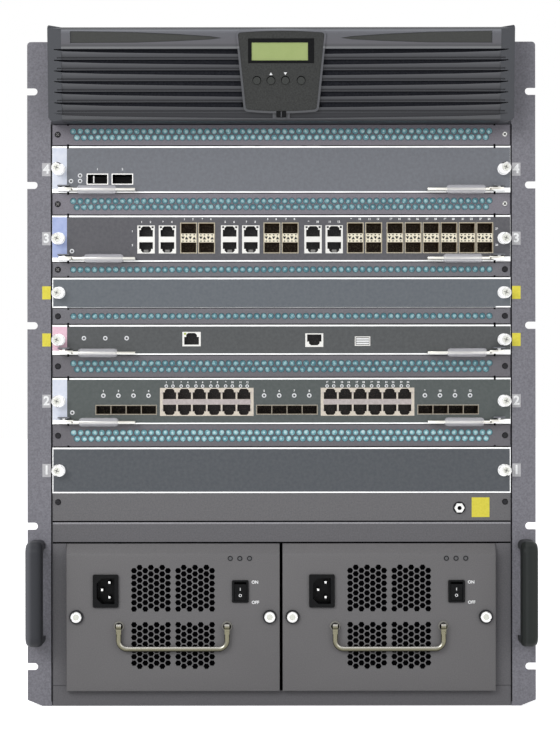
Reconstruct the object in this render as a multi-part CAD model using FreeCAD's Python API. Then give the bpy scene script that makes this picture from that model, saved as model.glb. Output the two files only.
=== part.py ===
import FreeCAD, Part
import math
import os

# Modular chassis switch: a rack chassis with four line cards, a control card, blank panels and two power units.
# Millimetres. X runs right, Y runs back from the rear face of the rack ears, Z runs up from the base.

V = FreeCAD.Vector

# ---- general fits -----------------------------------------------------------------------------------------------
MOVE_GAP = 0.3          # clear space between pieces that move apart
PIN_FIT = 0.06          # radial clearance of a running pin
SEAM = 0.4              # clear space between neighbouring front panels
THROUGH = 9.0           # how far a cutter runs past a thin panel

# ---- chassis ----------------------------------------------------------------------------------------------------
BODY_W = 437.0
BODY_D = 460.0
BODY_H = 629.0
SHEET = 1.5             # thickness of the wrap, cover and rear panel
COVER_LIP = 14.0
FAN_ROOM = 120.0        # from the backplane to the rear of the chassis
BACKPLANE_T = 3.2
SOCKET_XS = (-140.0, 0.0, 140.0)
SOCKET_HALF_W = 30.0
SOCKET_D = 9.0          # how far a socket stands in front of the backplane
SOCKET_H = 12.0
SOCKET_DROP = 3.0       # a socket's underside below its board
REAR_SLOTS = 8          # air slots behind each power unit
REAR_SLOT_PITCH = 16.0
REAR_SLOT_W = 6.0
REAR_SLOT_Z = (40.0, 128.0)

# ---- rack ears and grips ----------------------------------------------------------------------------------------
EAR_OVER = 1.6          # the ears' top over the body
EAR_FLANGE = 22.8       # the ears' reach past the body
EAR_T = 2.5
EAR_LEG_D = 40.0
EAR_TOP_R = 3.5
EAR_FOOT_W = 14.0
EAR_FOOT_H = 5.6
NOTCH_H = 6.8
NOTCH_D = 9.8
NOTCH_ZS = (37.3, 170.65, 361.15, 494.5)
NOTCH_UNDER_TOP = 47.2
GRIP_INSET = 9.1        # from an ear's outer edge to the grip's centre line
GRIP_W = 16.0
GRIP_D = 36.0
GRIP_Z0 = 58.9
GRIP_H = 98.9
GRIP_POST = 8.0
GRIP_BAR = 12.0
GRIP_R = 11.0
GRIP_EDGE = 5.0

# ---- power units ------------------------------------------------------------------------------------------------
PSU_SIDES = 33.0        # body width left beside the two units
PSU_APART = 2.65
PSU_SPLIT_X = -0.575    # middle of the gap between the units
PSU_Z0 = 14.9
PSU_H = 139.2
PSU_PROUD = 10.0
PSU_SLOPE_H = 9.7
PSU_SLOPE_D = 7.0
PSU_WALL = 1.5
PSU_ROOM = 140.0        # from a unit's rear to the rear of the chassis
CASE_SIDE = 1.2
CASE_RISE = 0.6         # the case's underside over the faceplate's lower edge
CASE_INSET = 0.5
CASE_TOP_GAP = 4.0
SKID_X = 70.0           # runners under each power unit, from its centre line
SKID_W = 12.0
BAY_GAP = 0.4
DIVIDER_T = 1.0
HEX_AF = 7.6            # across flats of a vent hole
HEX_PITCH_X = 9.4
HEX_PITCH_Z = 10.8
HEX_COLS = 4
HEX_ROWS = 4
VENT_BLOCK_X = 20.85    # a block's centre from the unit's centre line
VENT_BLOCK_ZS = (56.3, 112.4)
SOCKET_INSET = 37.3     # inlet and switch centres from the unit's edge
INLET_Z = 109.8
INLET_W = 24.3
INLET_H = 31.3
INLET_FLANGE_T = 2.4
INLET_LIP = 2.3
CAVITY_W = 17.0
CAVITY_H = 24.5
CAVITY_D = 16.0
CAVITY_CUT = 5.0
INLET_PINS = ((-3.5, 0.0), (3.5, 7.0), (3.5, -7.0))
INLET_PIN_W = 2.0
INLET_PIN_H = 4.0
ROCKER_Z = 109.4
SWITCH_W = 15.8
SWITCH_H = 21.2
SWITCH_WALL = 1.6
SWITCH_LIP = 1.1
SWITCH_PROUD = 1.8
ROCKER_SWING = 20.0
ROCKER_PIVOT_Y = -7.0
BAIL_X = 51.2
BAIL_Z = 76.3
BAIL_DROP = 21.0
BAIL_ROD_R = 2.5
BAIL_CORNER_R = 8.0
BAIL_PIN_R = 1.1
BAIL_EYE_R = 2.9
BAIL_EYE_T = 4.6
BAIL_NECK = 7.0
BAIL_PIVOT_Y = -14.2    # pin axis
BOSS_R = 5.6
BOSS_L = 8.0
BOSS_CHEEK = 2.0
FAN_Z = 83.5
FAN_R = 50.0
FAN_HUB_R = 18.0
FAN_PIN_R = 3.0
FAN_DEPTH = 14.0
FAN_Y = 26.0            # middle of the rotor
FAN_BLADES = 7
BLADE_T = 1.8
BLADE_PITCH = 50.0
DUCT_T = 2.0
DUCT_EDGE = 6.0
SPOKE_W = 6.0
UNIT_SCREW_INSET = 9.4
UNIT_SCREW_Z = 85.2
UNIT_SCREW_R = 6.2
UNIT_SCREW_T = 2.6
UNIT_BOARD_Y = (60.0, 280.0)
UNIT_BLOCKS = ((-80.0, -30.0, 80.0, 200.0, 60.0), (20.0, 70.0, 90.0, 180.0, 50.0))
UNIT_PLUG_HALF_W = 25.0
UNIT_PLUG_D = 12.0
UNIT_PLUG_RISE = 20.0

# ---- front panels -----------------------------------------------------------------------------------------------
FACE_T = 2.0            # card faceplates
BAFFLE_T = 1.5
FACE_INSET = 0.9        # from the body's side to the panels' ends
FACE_BACK = -0.3        # rear face of every card faceplate
FLANGE_D = 12.0
FOLD_INSET = 1.0
SHELF_OVER = 17.5       # underside of the shelf over the power bay's opening
SHELF_T = 2.0
SHELF_PAST = 30.0       # how far the shelf runs behind the backplane
STRIP_OVER = 1.2        # the lower strip's foot over the shelf
STRIP_H = 26.8
BAY_FOOT_SEAM = 18.9    # seam between the foot rail and the side strips
SLOTS = (("blank_panel_lower", 43.3, 22.3), ("card_2", 43.7, 22.1), ("control_card", 28.4, 16.3),
         ("blank_panel_upper", 28.5, 15.3), ("card_3", 43.8, 21.6), ("card_4", 44.2, 20.5))
VENT_A = 3.3            # half width across corners of a perforation
VENT_PITCH = 20.4
VENT_COUNT = 20
VENT_ROWS_APART = 6.1
VENT_TWO_ROWS = 18.0    # a baffle taller than this has two rows
JACK_INSET = 49.7       # from the body's side to the grounding jack
JACK_Z = 187.8
JACK_NUT_R = 4.9
JACK_NUT_T = 3.2
JACK_BARREL_R = 3.9
JACK_BORE_R = 2.0
JACK_BORE_Y = 10.0

# ---- cards ------------------------------------------------------------------------------------------------------
BOARD_T = 2.0
BOARD_RISE = 5.2        # underside of a board over its card's lower edge
BOARD_INSET = 10.5
BOARD_SHORT = 14.0      # from a board's rear edge to the backplane
BOARD_PARTS_X = (-120.0, 10.0, 110.0)
BOARD_PART_W = 44.0
BOARD_PART_Y = (120.0, 164.0)
BOARD_PART_H = 16.0
BOARD_HEADROOM = 6.0
PLUG_HALF_W = 28.0
PLUG_D = 12.0
PLUG_H = 6.0
RAIL_W = 11.0
RAIL_T = 1.5
RAIL_Y0 = 6.0
SCREW_INSET = 6.8
SCREW_HEAD_R = 4.9
SCREW_COLLAR_R = 5.7
SCREW_COLLAR_L = 4.0
SCREW_HEAD_L = 10.0
LEVER_INSET = 11.4      # from a faceplate's end to a lever's pivot
LEVER_PIVOT_Y = -8.6
LEVER_L = 69.0
LEVER_D = 9.0
LEVER_T = 3.0
LEVER_RISE = 2.4
LEVER_TIP_R = 2.5
LEVER_PIN_R = 1.8
LEVER_TAB_T = 1.2
LEVER_TAB_D = 11.0
LEVER_TAB_W = 11.0
SLEEVE_OUT = 14.5       # from the pivot to the sleeve's near end
SLEEVE_L = 37.0
SLEEVE_H = 8.6
SLEEVE_WALL = 1.4
SLEEVE_R = 2.0
PORT_PROUD = 0.8        # jacks and cages stand this far in front of the faceplate
PORT_DEPTH = 18.0
PORT_BACK = 3.0         # solid behind a jack's cavity
CAGE_LONGER = 14.0
PORT_FRAME = 0.8
RULER = 435.2           # columns of ports are placed on a ruler of this many parts across the faceplate
JACK_STACKS_X = (-136.7, -116.4, -57.3, -37.2, 21.9, 42.0)
SFP_STACKS_X = (-96.0, -79.0, -16.9, 0.4, 62.3, 79.7, 100.0, 117.2, 134.3, 151.3, 168.5, 185.3)
JACK_W = 16.4
JACK_H = 26.5
JACK_SIDE = 3.4         # wall of a single jack, both sides together
JACK_RIB = 1.6          # wall between neighbouring jacks
JACK_EDGE = 0.8         # wall above and below the cavities of a block
JACK_MIDDLE = 5.2       # bar between the two rows of a block
JACK_LONE_EDGE = 1.0
JACK_BODY = 0.66        # height of the plug's body, as a part of the cavity
JACK_SHOULDER = (0.37, 0.83)    # half width and height of the step beside the latch key, as parts of the cavity
JACK_KEY = 0.23         # half width of the latch key, as a part of the cavity
STACK_W = 15.9
STACK_H = 29.2
STACK_MIDDLE = 8.4
PORT_RISE = 7.8
SFP_ROW_X = (-176.8, -24.0, 129.0)
SFP_ROW_W = 58.4
SFP_ROW_H = 9.3
SFP_ROW_RISE = 8.9
SFP_ROW_MOUTHS = 4
JACK_BLOCK_X = (-115.4, 37.3)
JACK_BLOCK_W = 88.8
JACK_BLOCK_PITCH = 14.1
JACK_BLOCK_COLUMNS = 6
XFP_X = (-184.8, -161.1)
XFP_W = 20.4
XFP_H = 10.4
CONTROL_JACKS = ((-94.0, 8.1, 17.3, 13.6), (22.7, 7.4, 17.0, 12.8))
USB = (69.7, 8.4, 14.6, 8.8)

# ---- bezel ------------------------------------------------------------------------------------------------------
BEZEL_SIDE = 0.1        # from the body's side to the bezel's end
BEZEL_DROP = 76.6       # from the body's top down to the bezel's foot
BEZEL_H = 86.8
BEZEL_FOOT_D = 34.0     # how far the foot stands in front
BEZEL_LEAN = 11.0       # how much further the brow stands out
BEZEL_WALL = 3.6
BEZEL_TOP_R = 6.0
CAP_W = 13.2
CAP_TURN = 4.0          # how far a cap's outer edge turns back
CAP_HORN = 2.0          # how far a cap's outer corner rises
CAP_SNIP = 1.1          # cut at that corner
CAP_FOOT_W = 2.6
CAP_FOOT_H = 3.4
LOUVRES = 7
LOUVRE_PITCH = 9.9
LOUVRE_TOP = 66.6       # upper edge of the top louvre over the bezel's foot
LOUVRE_X_IN = 8.0
LOUVRE_EDGE = ((212.4, 0.7), (203.0, 2.1), (167.0, 3.2), (111.0, 4.0), (55.0, 4.6), (8.0, 5.0))
LOUVRE_BLIND = 2.4      # depth of the lowest louvre, which is a recess
BLADE_SINK = 1.5        # how far a blade's lower edge lies behind its upper edge
GROOVE_RISE = 1.1       # fine groove over the next louvre
GROOVE_H = 1.4
GROOVE_D = 1.1
GROOVE_X_OUT = 209.5
INLAY = ((196.8, 72.0), (196.8, 83.3), (138.0, 82.3), (98.0, 80.5), (66.0, 78.4), (55.6, 76.7),
         (66.0, 75.2), (98.0, 73.6), (138.0, 72.3))
INLAY_DEEP = 0.8
PANEL_HALF_TOP = 42.4
PANEL_HALF_FOOT = 34.9
PANEL_Z0 = 8.6
PANEL_Z1 = 83.4
PANEL_ARCH = 1.8        # rise of the upper edge and fall of the lower edge in the middle
PANEL_R = 4.5
PANEL_RIM = 1.9
PANEL_PROUD = 2.0
PANEL_FACE = 0.6        # the panel's face behind the rim
PANEL_BACK = 1.5
PANEL_LEDGE = 2.5
LCD_HALF_W = 30.9
LCD_Z0 = 53.2
LCD_H = 23.1
LCD_RECESS = 1.6
GLASS_X0 = -27.8
GLASS_X1 = 25.2
GLASS_Z0 = 55.7
GLASS_H = 17.0
LCD_EDGE = 2.0
LCD_T = 5.0
LCD_BOARD_T = 1.6
LCD_BOARD_HALF_W = 30.0
LCD_BOARD_DROP = 10.0
BUTTON_XS = (-22.8, -9.6, 3.9, 18.6)
BUTTON_Z = 37.2
BUTTON_R = 3.5
BUTTON_PROUD = 0.9
BUTTON_FLANGE = 1.2
BUTTON_BACK = 3.6
LATCH_HALF_W = 4.2
LATCH_Z = (0.9, 6.1)
LATCH_PROUD = 1.2

# ---- fan tray ---------------------------------------------------------------------------------------------------
TRAY_W = 190.0
TRAY_OVER_SHELF = 43.0
TRAY_UNDER_TOP = 14.0
TRAY_T = 1.5
TRAY_FANS = 3
TRAY_FAN_R = 52.0
TRAY_FAN_WALL = 4.0
TRAY_LAP = 6.0          # how far the tray's plate laps over the rear panel
TRAY_FAN_D = 25.0
TRAY_HUB_R = 20.0
TRAY_BAR = 4.0
TRAY_BAR_T = 3.0

# ---- sizes that follow ------------------------------------------------------------------------------------------
BODY_HALF = BODY_W / 2.0
INNER_HALF = BODY_HALF - SHEET
FACE_HALF = BODY_HALF - FACE_INSET
FOLD_HALF = INNER_HALF - FOLD_INSET
FACE_FRONT = FACE_BACK - FACE_T
PORT_FRONT = FACE_FRONT - PORT_PROUD
SCREW_X = FACE_HALF - SCREW_INSET
LEVER_PIVOT_X = FACE_HALF - LEVER_INSET
EAR_X = BODY_HALF + EAR_FLANGE
EAR_H = BODY_H + EAR_OVER
BACKPLANE_Y = BODY_D - FAN_ROOM
BOARD_D = BACKPLANE_Y - BOARD_SHORT
PSU_D = BODY_D - PSU_ROOM
PSU_W = (BODY_W - PSU_SIDES) / 2.0
PSU_HALF = PSU_W / 2.0
PSU_TOP = PSU_Z0 + PSU_H
PSU_STEP = (PSU_W + PSU_APART) / 2.0
PSU_CENTRES = (PSU_SPLIT_X - PSU_STEP, PSU_SPLIT_X + PSU_STEP)
SOCKET_X = PSU_HALF - SOCKET_INSET
BAY_TOP_Z = PSU_TOP + BAY_GAP
SHELF_Z = BAY_TOP_Z + SHELF_OVER
STRIP_Z0 = SHELF_Z + SHELF_T + STRIP_OVER
BEZEL_Z0 = BODY_H - BEZEL_DROP
BEZEL_HALF_W = BODY_HALF - BEZEL_SIDE
BAFFLE_TOP = BEZEL_Z0 - SEAM
CREASE_X = BEZEL_HALF_W - CAP_W
JACK_X = BODY_HALF - JACK_INSET
LEAN = math.degrees(math.atan2(BEZEL_LEAN, BEZEL_H))
TRAY_Z0 = SHELF_Z + TRAY_OVER_SHELF
TRAY_H = BODY_H - TRAY_UNDER_TOP - TRAY_Z0


def slot_heights():
    """Lower and upper edge of every slot; the air gaps share the room that the panels leave."""
    foot = STRIP_Z0 + STRIP_H
    room = BAFFLE_TOP - foot - sum(height for _, height, _ in SLOTS)
    unit = room / sum(gap for _, _, gap in SLOTS)
    edges = {}
    for name, height, gap in SLOTS:
        edges[name] = (foot, foot + height)
        foot += height + gap * unit
    return edges


SLOT_Z = slot_heights()
CARDS = ("card_2", "control_card", "card_3", "card_4")


# ---- helpers ----------------------------------------------------------------------------------------------------
def box(x0, x1, y0, y1, z0, z1):
    return Part.makeBox(x1 - x0, y1 - y0, z1 - z0, V(x0, y0, z0))


def rod(radius, start, end):
    run = V(*end).sub(V(*start))
    return Part.makeCylinder(radius, run.Length, V(*start), run)


def mirror_x(shape):
    return shape.mirror(V(0, 0, 0), V(1, 0, 0))


def fused(shapes):
    shapes = list(shapes)
    return shapes[0].multiFuse(shapes[1:]).removeSplitter() if len(shapes) > 1 else shapes[0]


def cut(shape, tools):
    return shape.cut(Part.makeCompound(list(tools)))


def prism(points, run):
    """A prism over a closed outline of points in space."""
    wire = Part.makePolygon(list(points) + [points[0]])
    return Part.Face(wire).extrude(run)


def prism_y(points, y0, y1):
    """A prism along Y of an outline given as (x, z)."""
    return prism([V(x, y0, z) for x, z in points], V(0, y1 - y0, 0))


def prism_x(points, x0, x1):
    """A prism along X of an outline given as (y, z)."""
    return prism([V(x0, y, z) for y, z in points], V(x1 - x0, 0, 0))


def prism_z(points, z0, z1):
    """A prism along Z of an outline given as (x, y)."""
    return prism([V(x, y, z0) for x, y in points], V(0, 0, z1 - z0))


def ring_points(radius, count):
    steps = [math.radians(360.0 * i / count) for i in range(count)]
    return [(radius * math.cos(a), radius * math.sin(a)) for a in steps]


def edges_along(shape, direction):
    return [e for e in shape.Edges if e.tangentAt(e.FirstParameter).cross(direction).Length < 1e-6]


def soft_box(x0, x1, y0, y1, z0, z1, radius, direction):
    """A box whose edges along one direction are rounded."""
    shape = box(x0, x1, y0, y1, z0, z1)
    return shape.makeFillet(radius, edges_along(shape, direction))


# ---- chassis ----------------------------------------------------------------------------------------------------
def card_rails(z0, side):
    """Upper and lower guide for one board, on the inner face of a side wall."""
    under = z0 + BOARD_RISE - MOVE_GAP
    over = z0 + BOARD_RISE + BOARD_T + MOVE_GAP
    rails = [box(INNER_HALF - RAIL_W, INNER_HALF, RAIL_Y0, BACKPLANE_Y, z, z + RAIL_T)
             for z in (under - RAIL_T, over)]
    return rails if side > 0 else [mirror_x(r) for r in rails]


def chassis_wrap():
    """Floor and side walls in one bend, with card guides and runners for the power units."""
    outer = box(-BODY_HALF, BODY_HALF, 0, BODY_D, 0, BODY_H)
    inner = box(-INNER_HALF, INNER_HALF, -THROUGH, BODY_D + THROUGH, SHEET, BODY_H + THROUGH)
    guides = []
    for name in CARDS:
        for side in (-1, 1):
            guides += card_rails(SLOT_Z[name][0], side)
    runner_top = PSU_Z0 + CASE_RISE - MOVE_GAP
    for centre in PSU_CENTRES:
        for x in (centre - SKID_X, centre + SKID_X):
            guides.append(box(x - SKID_W / 2, x + SKID_W / 2, FLANGE_D + SHEET, PSU_D, SHEET, runner_top))
    return fused([outer.cut(inner)] + guides)


def top_cover():
    plate = box(-INNER_HALF, INNER_HALF, 0, BODY_D, BODY_H - SHEET, BODY_H)
    lip = box(-INNER_HALF, -INNER_HALF + SHEET, 0, BODY_D - SHEET, BODY_H - COVER_LIP, BODY_H - SHEET)
    return fused([plate, lip, mirror_x(lip)])


def rear_panel():
    """Rear wall with the fan tray's window and air slots behind the power units."""
    plate = box(-INNER_HALF, INNER_HALF, BODY_D - SHEET, BODY_D, SHEET, BODY_H - SHEET)
    window = TRAY_W / 2 - TRAY_LAP
    openings = [box(-window, window, BODY_D - THROUGH, BODY_D + THROUGH, TRAY_Z0 + TRAY_LAP,
                    TRAY_Z0 + TRAY_H - TRAY_LAP)]
    low, high = REAR_SLOT_Z
    for centre in PSU_CENTRES:
        for i in range(REAR_SLOTS):
            x = centre + (i - (REAR_SLOTS - 1) / 2.0) * REAR_SLOT_PITCH
            openings.append(box(x - REAR_SLOT_W / 2, x + REAR_SLOT_W / 2, BODY_D - THROUGH, BODY_D + THROUGH,
                                low, high))
    fold_half = INNER_HALF - SHEET
    fold = box(-fold_half, fold_half, BODY_D - SHEET - FLANGE_D, BODY_D - SHEET, BODY_H - 2 * SHEET,
               BODY_H - SHEET)
    return fused([cut(plate, openings), fold])


def middle_shelf():
    """Shelf between the card cage and the power bay, with the divider under it."""
    shelf = box(-INNER_HALF, INNER_HALF, 0, BACKPLANE_Y + SHELF_PAST, SHELF_Z, SHELF_Z + SHELF_T)
    divider = box(PSU_SPLIT_X - DIVIDER_T / 2, PSU_SPLIT_X + DIVIDER_T / 2, FLANGE_D + SHEET, BACKPLANE_Y,
                  SHEET, SHELF_Z)
    return fused([shelf, divider])


def backplane():
    plate = box(-INNER_HALF, INNER_HALF, BACKPLANE_Y, BACKPLANE_Y + BACKPLANE_T, SHELF_Z + SHELF_T, BAFFLE_TOP)
    sockets = []
    for name in CARDS:
        z = SLOT_Z[name][0] + BOARD_RISE - SOCKET_DROP
        for x in SOCKET_XS:
            sockets.append(box(x - SOCKET_HALF_W, x + SOCKET_HALF_W, BACKPLANE_Y - SOCKET_D, BACKPLANE_Y,
                               z, z + SOCKET_H))
    return fused([plate] + sockets)


def notch_cutter(z):
    """A slot open to an ear's outer edge, with a round inner end."""
    centre = EAR_X - NOTCH_D + NOTCH_H / 2
    end = rod(NOTCH_H / 2, (centre, -THROUGH, z), (centre, THROUGH, z))
    return end.fuse(box(centre, EAR_X + THROUGH, -THROUGH, THROUGH, z - NOTCH_H / 2, z + NOTCH_H / 2))


def right_rack_ear():
    outline = [(BODY_HALF, 0), (EAR_X - EAR_FOOT_W, 0), (EAR_X, EAR_FOOT_H), (EAR_X, EAR_H), (BODY_HALF, EAR_H)]
    plate = prism_y(outline, -EAR_T, 0)
    corner = [e for e in edges_along(plate, V(0, 1, 0))
              if e.BoundBox.XMin > EAR_X - 0.1 and e.BoundBox.ZMin > EAR_H - 0.1]
    plate = plate.makeFillet(EAR_TOP_R, corner)
    leg = box(BODY_HALF, BODY_HALF + EAR_T, -EAR_T, EAR_LEG_D, 0, BODY_H)
    return cut(fused([plate, leg]), [notch_cutter(z) for z in NOTCH_ZS + (EAR_H - NOTCH_UNDER_TOP,)])


def right_grip():
    """A bow grip: two short posts and a rounded bar."""
    centre = EAR_X - GRIP_INSET
    x0 = centre - GRIP_W / 2
    x1 = centre + GRIP_W / 2
    z1 = GRIP_Z0 + GRIP_H
    front = -EAR_T - GRIP_D
    outer = soft_box(x0, x1, front, -EAR_T + 2 * GRIP_R, GRIP_Z0, z1, GRIP_R, V(1, 0, 0))
    outer = outer.common(box(x0 - 1, x1 + 1, front - 1, -EAR_T, GRIP_Z0 - 1, z1 + 1))
    ends = [e for e in outer.Edges if e.BoundBox.XLength < 0.01 and e.BoundBox.YMax < -EAR_T - 0.01]
    outer = outer.makeFillet(GRIP_EDGE, ends)
    space = soft_box(x0 - 1, x1 + 1, front + GRIP_BAR, 2 * GRIP_R, GRIP_Z0 + GRIP_POST, z1 - GRIP_POST,
                     GRIP_R * 0.6, V(1, 0, 0))
    return outer.cut(space)


# ---- front strips and baffles -----------------------------------------------------------------------------------
def perforations(z, rows):
    """Staggered rows of six-sided air holes along a baffle."""
    holes = []
    for row in range(rows):
        height = z + (row - (rows - 1) / 2.0) * VENT_ROWS_APART
        shift = VENT_PITCH / 4 * (2 * row - rows + 1)
        for i in range(VENT_COUNT):
            x = (i - (VENT_COUNT - 1) / 2.0) * VENT_PITCH + shift
            hole = [(x + dx, height + dz) for dx, dz in ring_points(VENT_A, 6)]
            holes.append(prism_y(hole, -BAFFLE_T - 1, 1))
    return holes


def folded_strip(x0, x1, z0, z1, folds):
    """A front strip with edges folded back at the given heights."""
    reach = [(max(x0, -FOLD_HALF), min(x1, FOLD_HALF), z) for z in folds]
    plate = box(x0, x1, -BAFFLE_T, 0, z0, z1)
    return fused([plate] + [box(a, b, 0, FLANGE_D, z, z + BAFFLE_T) for a, b, z in reach])


def baffle(z0, z1):
    rows = 2 if z1 - z0 > VENT_TWO_ROWS else 1
    strip = folded_strip(-FACE_HALF, FACE_HALF, z0, z1, (z0, z1 - BAFFLE_T))
    return cut(strip, perforations((z0 + z1) / 2.0, rows))


def air_baffles():
    tops = [SLOT_Z[name][1] for name, _, _ in SLOTS]
    feet = [SLOT_Z[name][0] for name, _, _ in SLOTS[1:]] + [BAFFLE_TOP + SEAM]
    return Part.makeCompound([baffle(low + SEAM, high - SEAM) for low, high in zip(tops, feet)])


def lower_strip():
    top = STRIP_Z0 + STRIP_H - SEAM
    strip = folded_strip(-FACE_HALF, FACE_HALF, STRIP_Z0, top, (top - BAFFLE_T,))
    return strip.cut(rod(JACK_BARREL_R + MOVE_GAP / 2, (JACK_X, -THROUGH, JACK_Z), (JACK_X, THROUGH, JACK_Z)))


def esd_jack():
    front = -BAFFLE_T - JACK_NUT_T
    nut = prism_y([(JACK_X + x, JACK_Z + z) for x, z in ring_points(JACK_NUT_R, 6)], front, -BAFFLE_T)
    barrel = rod(JACK_BARREL_R, (JACK_X, front - 1, JACK_Z), (JACK_X, JACK_BORE_Y + 4, JACK_Z))
    return fused([nut, barrel]).cut(rod(JACK_BORE_R, (JACK_X, front - 2, JACK_Z), (JACK_X, JACK_BORE_Y, JACK_Z)))


def bay_frame():
    """Four fixed strips round the power units: head rail, foot rail and two side strips."""
    left = PSU_CENTRES[0] - PSU_HALF - BAY_GAP
    right = PSU_CENTRES[1] + PSU_HALF + BAY_GAP
    foot = PSU_Z0 - BAY_GAP
    head = folded_strip(-FACE_HALF, FACE_HALF, BAY_TOP_Z, STRIP_Z0 - SEAM, (BAY_TOP_Z,))
    rail = folded_strip(-FACE_HALF, FACE_HALF, 0, foot, (foot - BAFFLE_T,))
    sides = []
    for x0, x1 in ((-FACE_HALF, left), (right, FACE_HALF)):
        rail = rail.fuse(box(x0, x1, -BAFFLE_T, 0, foot, BAY_FOOT_SEAM))
        sides.append(folded_strip(x0, x1, BAY_FOOT_SEAM + SEAM, BAY_TOP_Z - SEAM, (BAY_FOOT_SEAM + SEAM,)))
    return Part.makeCompound([head, rail.removeSplitter()] + sides)


# ---- cards ------------------------------------------------------------------------------------------------------
def across(parts):
    """A distance along the ruler of a faceplate."""
    return parts * 2 * FACE_HALF / RULER


def thumbscrew(x, z, face):
    """A captive screw: collar on the faceplate and a slimmer head in front."""
    collar = rod(SCREW_COLLAR_R, (x, face - SCREW_COLLAR_L, z), (x, face, z))
    return fused([collar, rod(SCREW_HEAD_R, (x, face - SCREW_HEAD_L, z), (x, face, z))])


def lever_tabs(z0, side):
    """Two tabs and the pin that carry an ejector lever."""
    x = side * LEVER_PIVOT_X
    low = z0 + LEVER_RISE - MOVE_GAP - LEVER_TAB_T
    high = z0 + LEVER_RISE + LEVER_T + MOVE_GAP
    half = LEVER_TAB_W / 2
    tabs = [box(x - half, x + half, FACE_FRONT - LEVER_TAB_D, FACE_FRONT, z, z + LEVER_TAB_T)
            for z in (low, high)]
    pin = rod(LEVER_PIN_R, (x, LEVER_PIVOT_Y, low), (x, LEVER_PIVOT_Y, high + LEVER_TAB_T))
    return fused(tabs + [pin])


def faceplate(name, levers=True, windows=()):
    z0, z1 = SLOT_Z[name]
    plate = box(-FACE_HALF, FACE_HALF, FACE_FRONT, FACE_BACK, z0, z1)
    if windows:
        plate = cut(plate, [box(x0, x1, -THROUGH, THROUGH, low, high) for x0, x1, low, high in windows])
    extras = [thumbscrew(side * SCREW_X, (z0 + z1) / 2, FACE_FRONT) for side in (-1, 1)]
    if levers:
        extras += [lever_tabs(z0, side) for side in (-1, 1)]
    return fused([plate] + extras)


def blank_panel(name):
    """A panel without a card, stiffened by two folds."""
    z0, z1 = SLOT_Z[name]
    folds = [box(-FOLD_HALF, FOLD_HALF, FACE_BACK, FLANGE_D, z, z + SHEET)
             for z in (z0 + SEAM, z1 - SEAM - SHEET)]
    return fused([faceplate(name, levers=False)] + folds)


def lever(name, side):
    """An ejector lever lying along the lower edge of its card, with its grip sleeve."""
    z0 = SLOT_Z[name][0] + LEVER_RISE
    z1 = z0 + LEVER_T
    x = -LEVER_PIVOT_X
    y = LEVER_PIVOT_Y
    half = LEVER_D / 2
    bar = box(x, x + LEVER_L, y - half, y + half, z0, z1)
    tip = [e for e in edges_along(bar, V(0, 0, 1)) if e.BoundBox.XMin > x + LEVER_L - 0.1]
    bar = bar.makeFillet(LEVER_TIP_R, tip).fuse(rod(half, (x, y, z0), (x, y, z1)))
    middle = z0 + LEVER_T / 2
    sleeve = soft_box(x + SLEEVE_OUT, x + SLEEVE_OUT + SLEEVE_L, y - half - SLEEVE_WALL, y + half + SLEEVE_WALL,
                      middle - SLEEVE_H / 2, middle + SLEEVE_H / 2, SLEEVE_R, V(1, 0, 0))
    bore = rod(LEVER_PIN_R + PIN_FIT, (x, y, z0 - 1), (x, y, z1 + 1))
    shape = fused([bar, sleeve]).cut(bore)
    return shape if side < 0 else mirror_x(shape)


def board(name):
    """A card's circuit board, its edge connectors and tall parts."""
    z0, z1 = SLOT_Z[name]
    z = z0 + BOARD_RISE
    top = z + BOARD_T
    half = BODY_HALF - BOARD_INSET
    parts = [box(-half, half, FACE_BACK, BOARD_D, z, top)]
    headroom = min(BOARD_PART_H, z1 - top - BOARD_HEADROOM)
    near, far = BOARD_PART_Y
    for x in BOARD_PARTS_X:
        parts.append(box(x - BOARD_PART_W / 2, x + BOARD_PART_W / 2, near, far, top, top + headroom))
    for x in SOCKET_XS:
        parts.append(box(x - PLUG_HALF_W, x + PLUG_HALF_W, BOARD_D - PLUG_D,
                         BACKPLANE_Y - SOCKET_D - MOVE_GAP, top, top + PLUG_H))
    return fused(parts)


def jack_cavity(x, z, width, height, tab_up):
    """The opening of a modular jack: a rectangle with a narrower key for the plug's latch."""
    half = width / 2
    key = width * JACK_KEY
    body = height * JACK_BODY
    step = width * JACK_SHOULDER[0]
    step_top = height * JACK_SHOULDER[1]
    outline = [(-half, 0), (half, 0), (half, body), (step, body), (step, step_top), (key, height),
               (-key, height), (-step, step_top), (-step, body), (-half, body)]
    if not tab_up:
        outline = [(dx, height - dz) for dx, dz in reversed(outline)]
    return prism_y([(x + dx, z + dz) for dx, dz in outline], PORT_FRONT - 1, PORT_FRONT + PORT_DEPTH - PORT_BACK)


def jack_block(x0, z0, columns, pitch, width, height):
    """Two rows of modular jacks: the latch keys point up above and down below."""
    block = box(x0, x0 + width, PORT_FRONT, PORT_FRONT + PORT_DEPTH, z0, z0 + height)
    port_w = pitch - JACK_RIB if columns > 1 else width - JACK_SIDE
    port_h = (height - JACK_MIDDLE) / 2 - JACK_EDGE
    start = x0 + (width - (columns - 1) * pitch) / 2
    cavities = []
    for i in range(columns):
        x = start + i * pitch
        cavities.append(jack_cavity(x, z0 + JACK_EDGE, port_w, port_h, False))
        cavities.append(jack_cavity(x, z0 + height - JACK_EDGE - port_h, port_w, port_h, True))
    return cut(block, cavities)


def single_jack(x0, z0, width, height, tab_up):
    block = box(x0, x0 + width, PORT_FRONT, PORT_FRONT + PORT_DEPTH, z0, z0 + height)
    port_h = height - 2.5 * JACK_LONE_EDGE
    return block.cut(jack_cavity(x0 + width / 2, z0 + 1.5 * JACK_LONE_EDGE, width - JACK_SIDE, port_h, tab_up))


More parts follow.
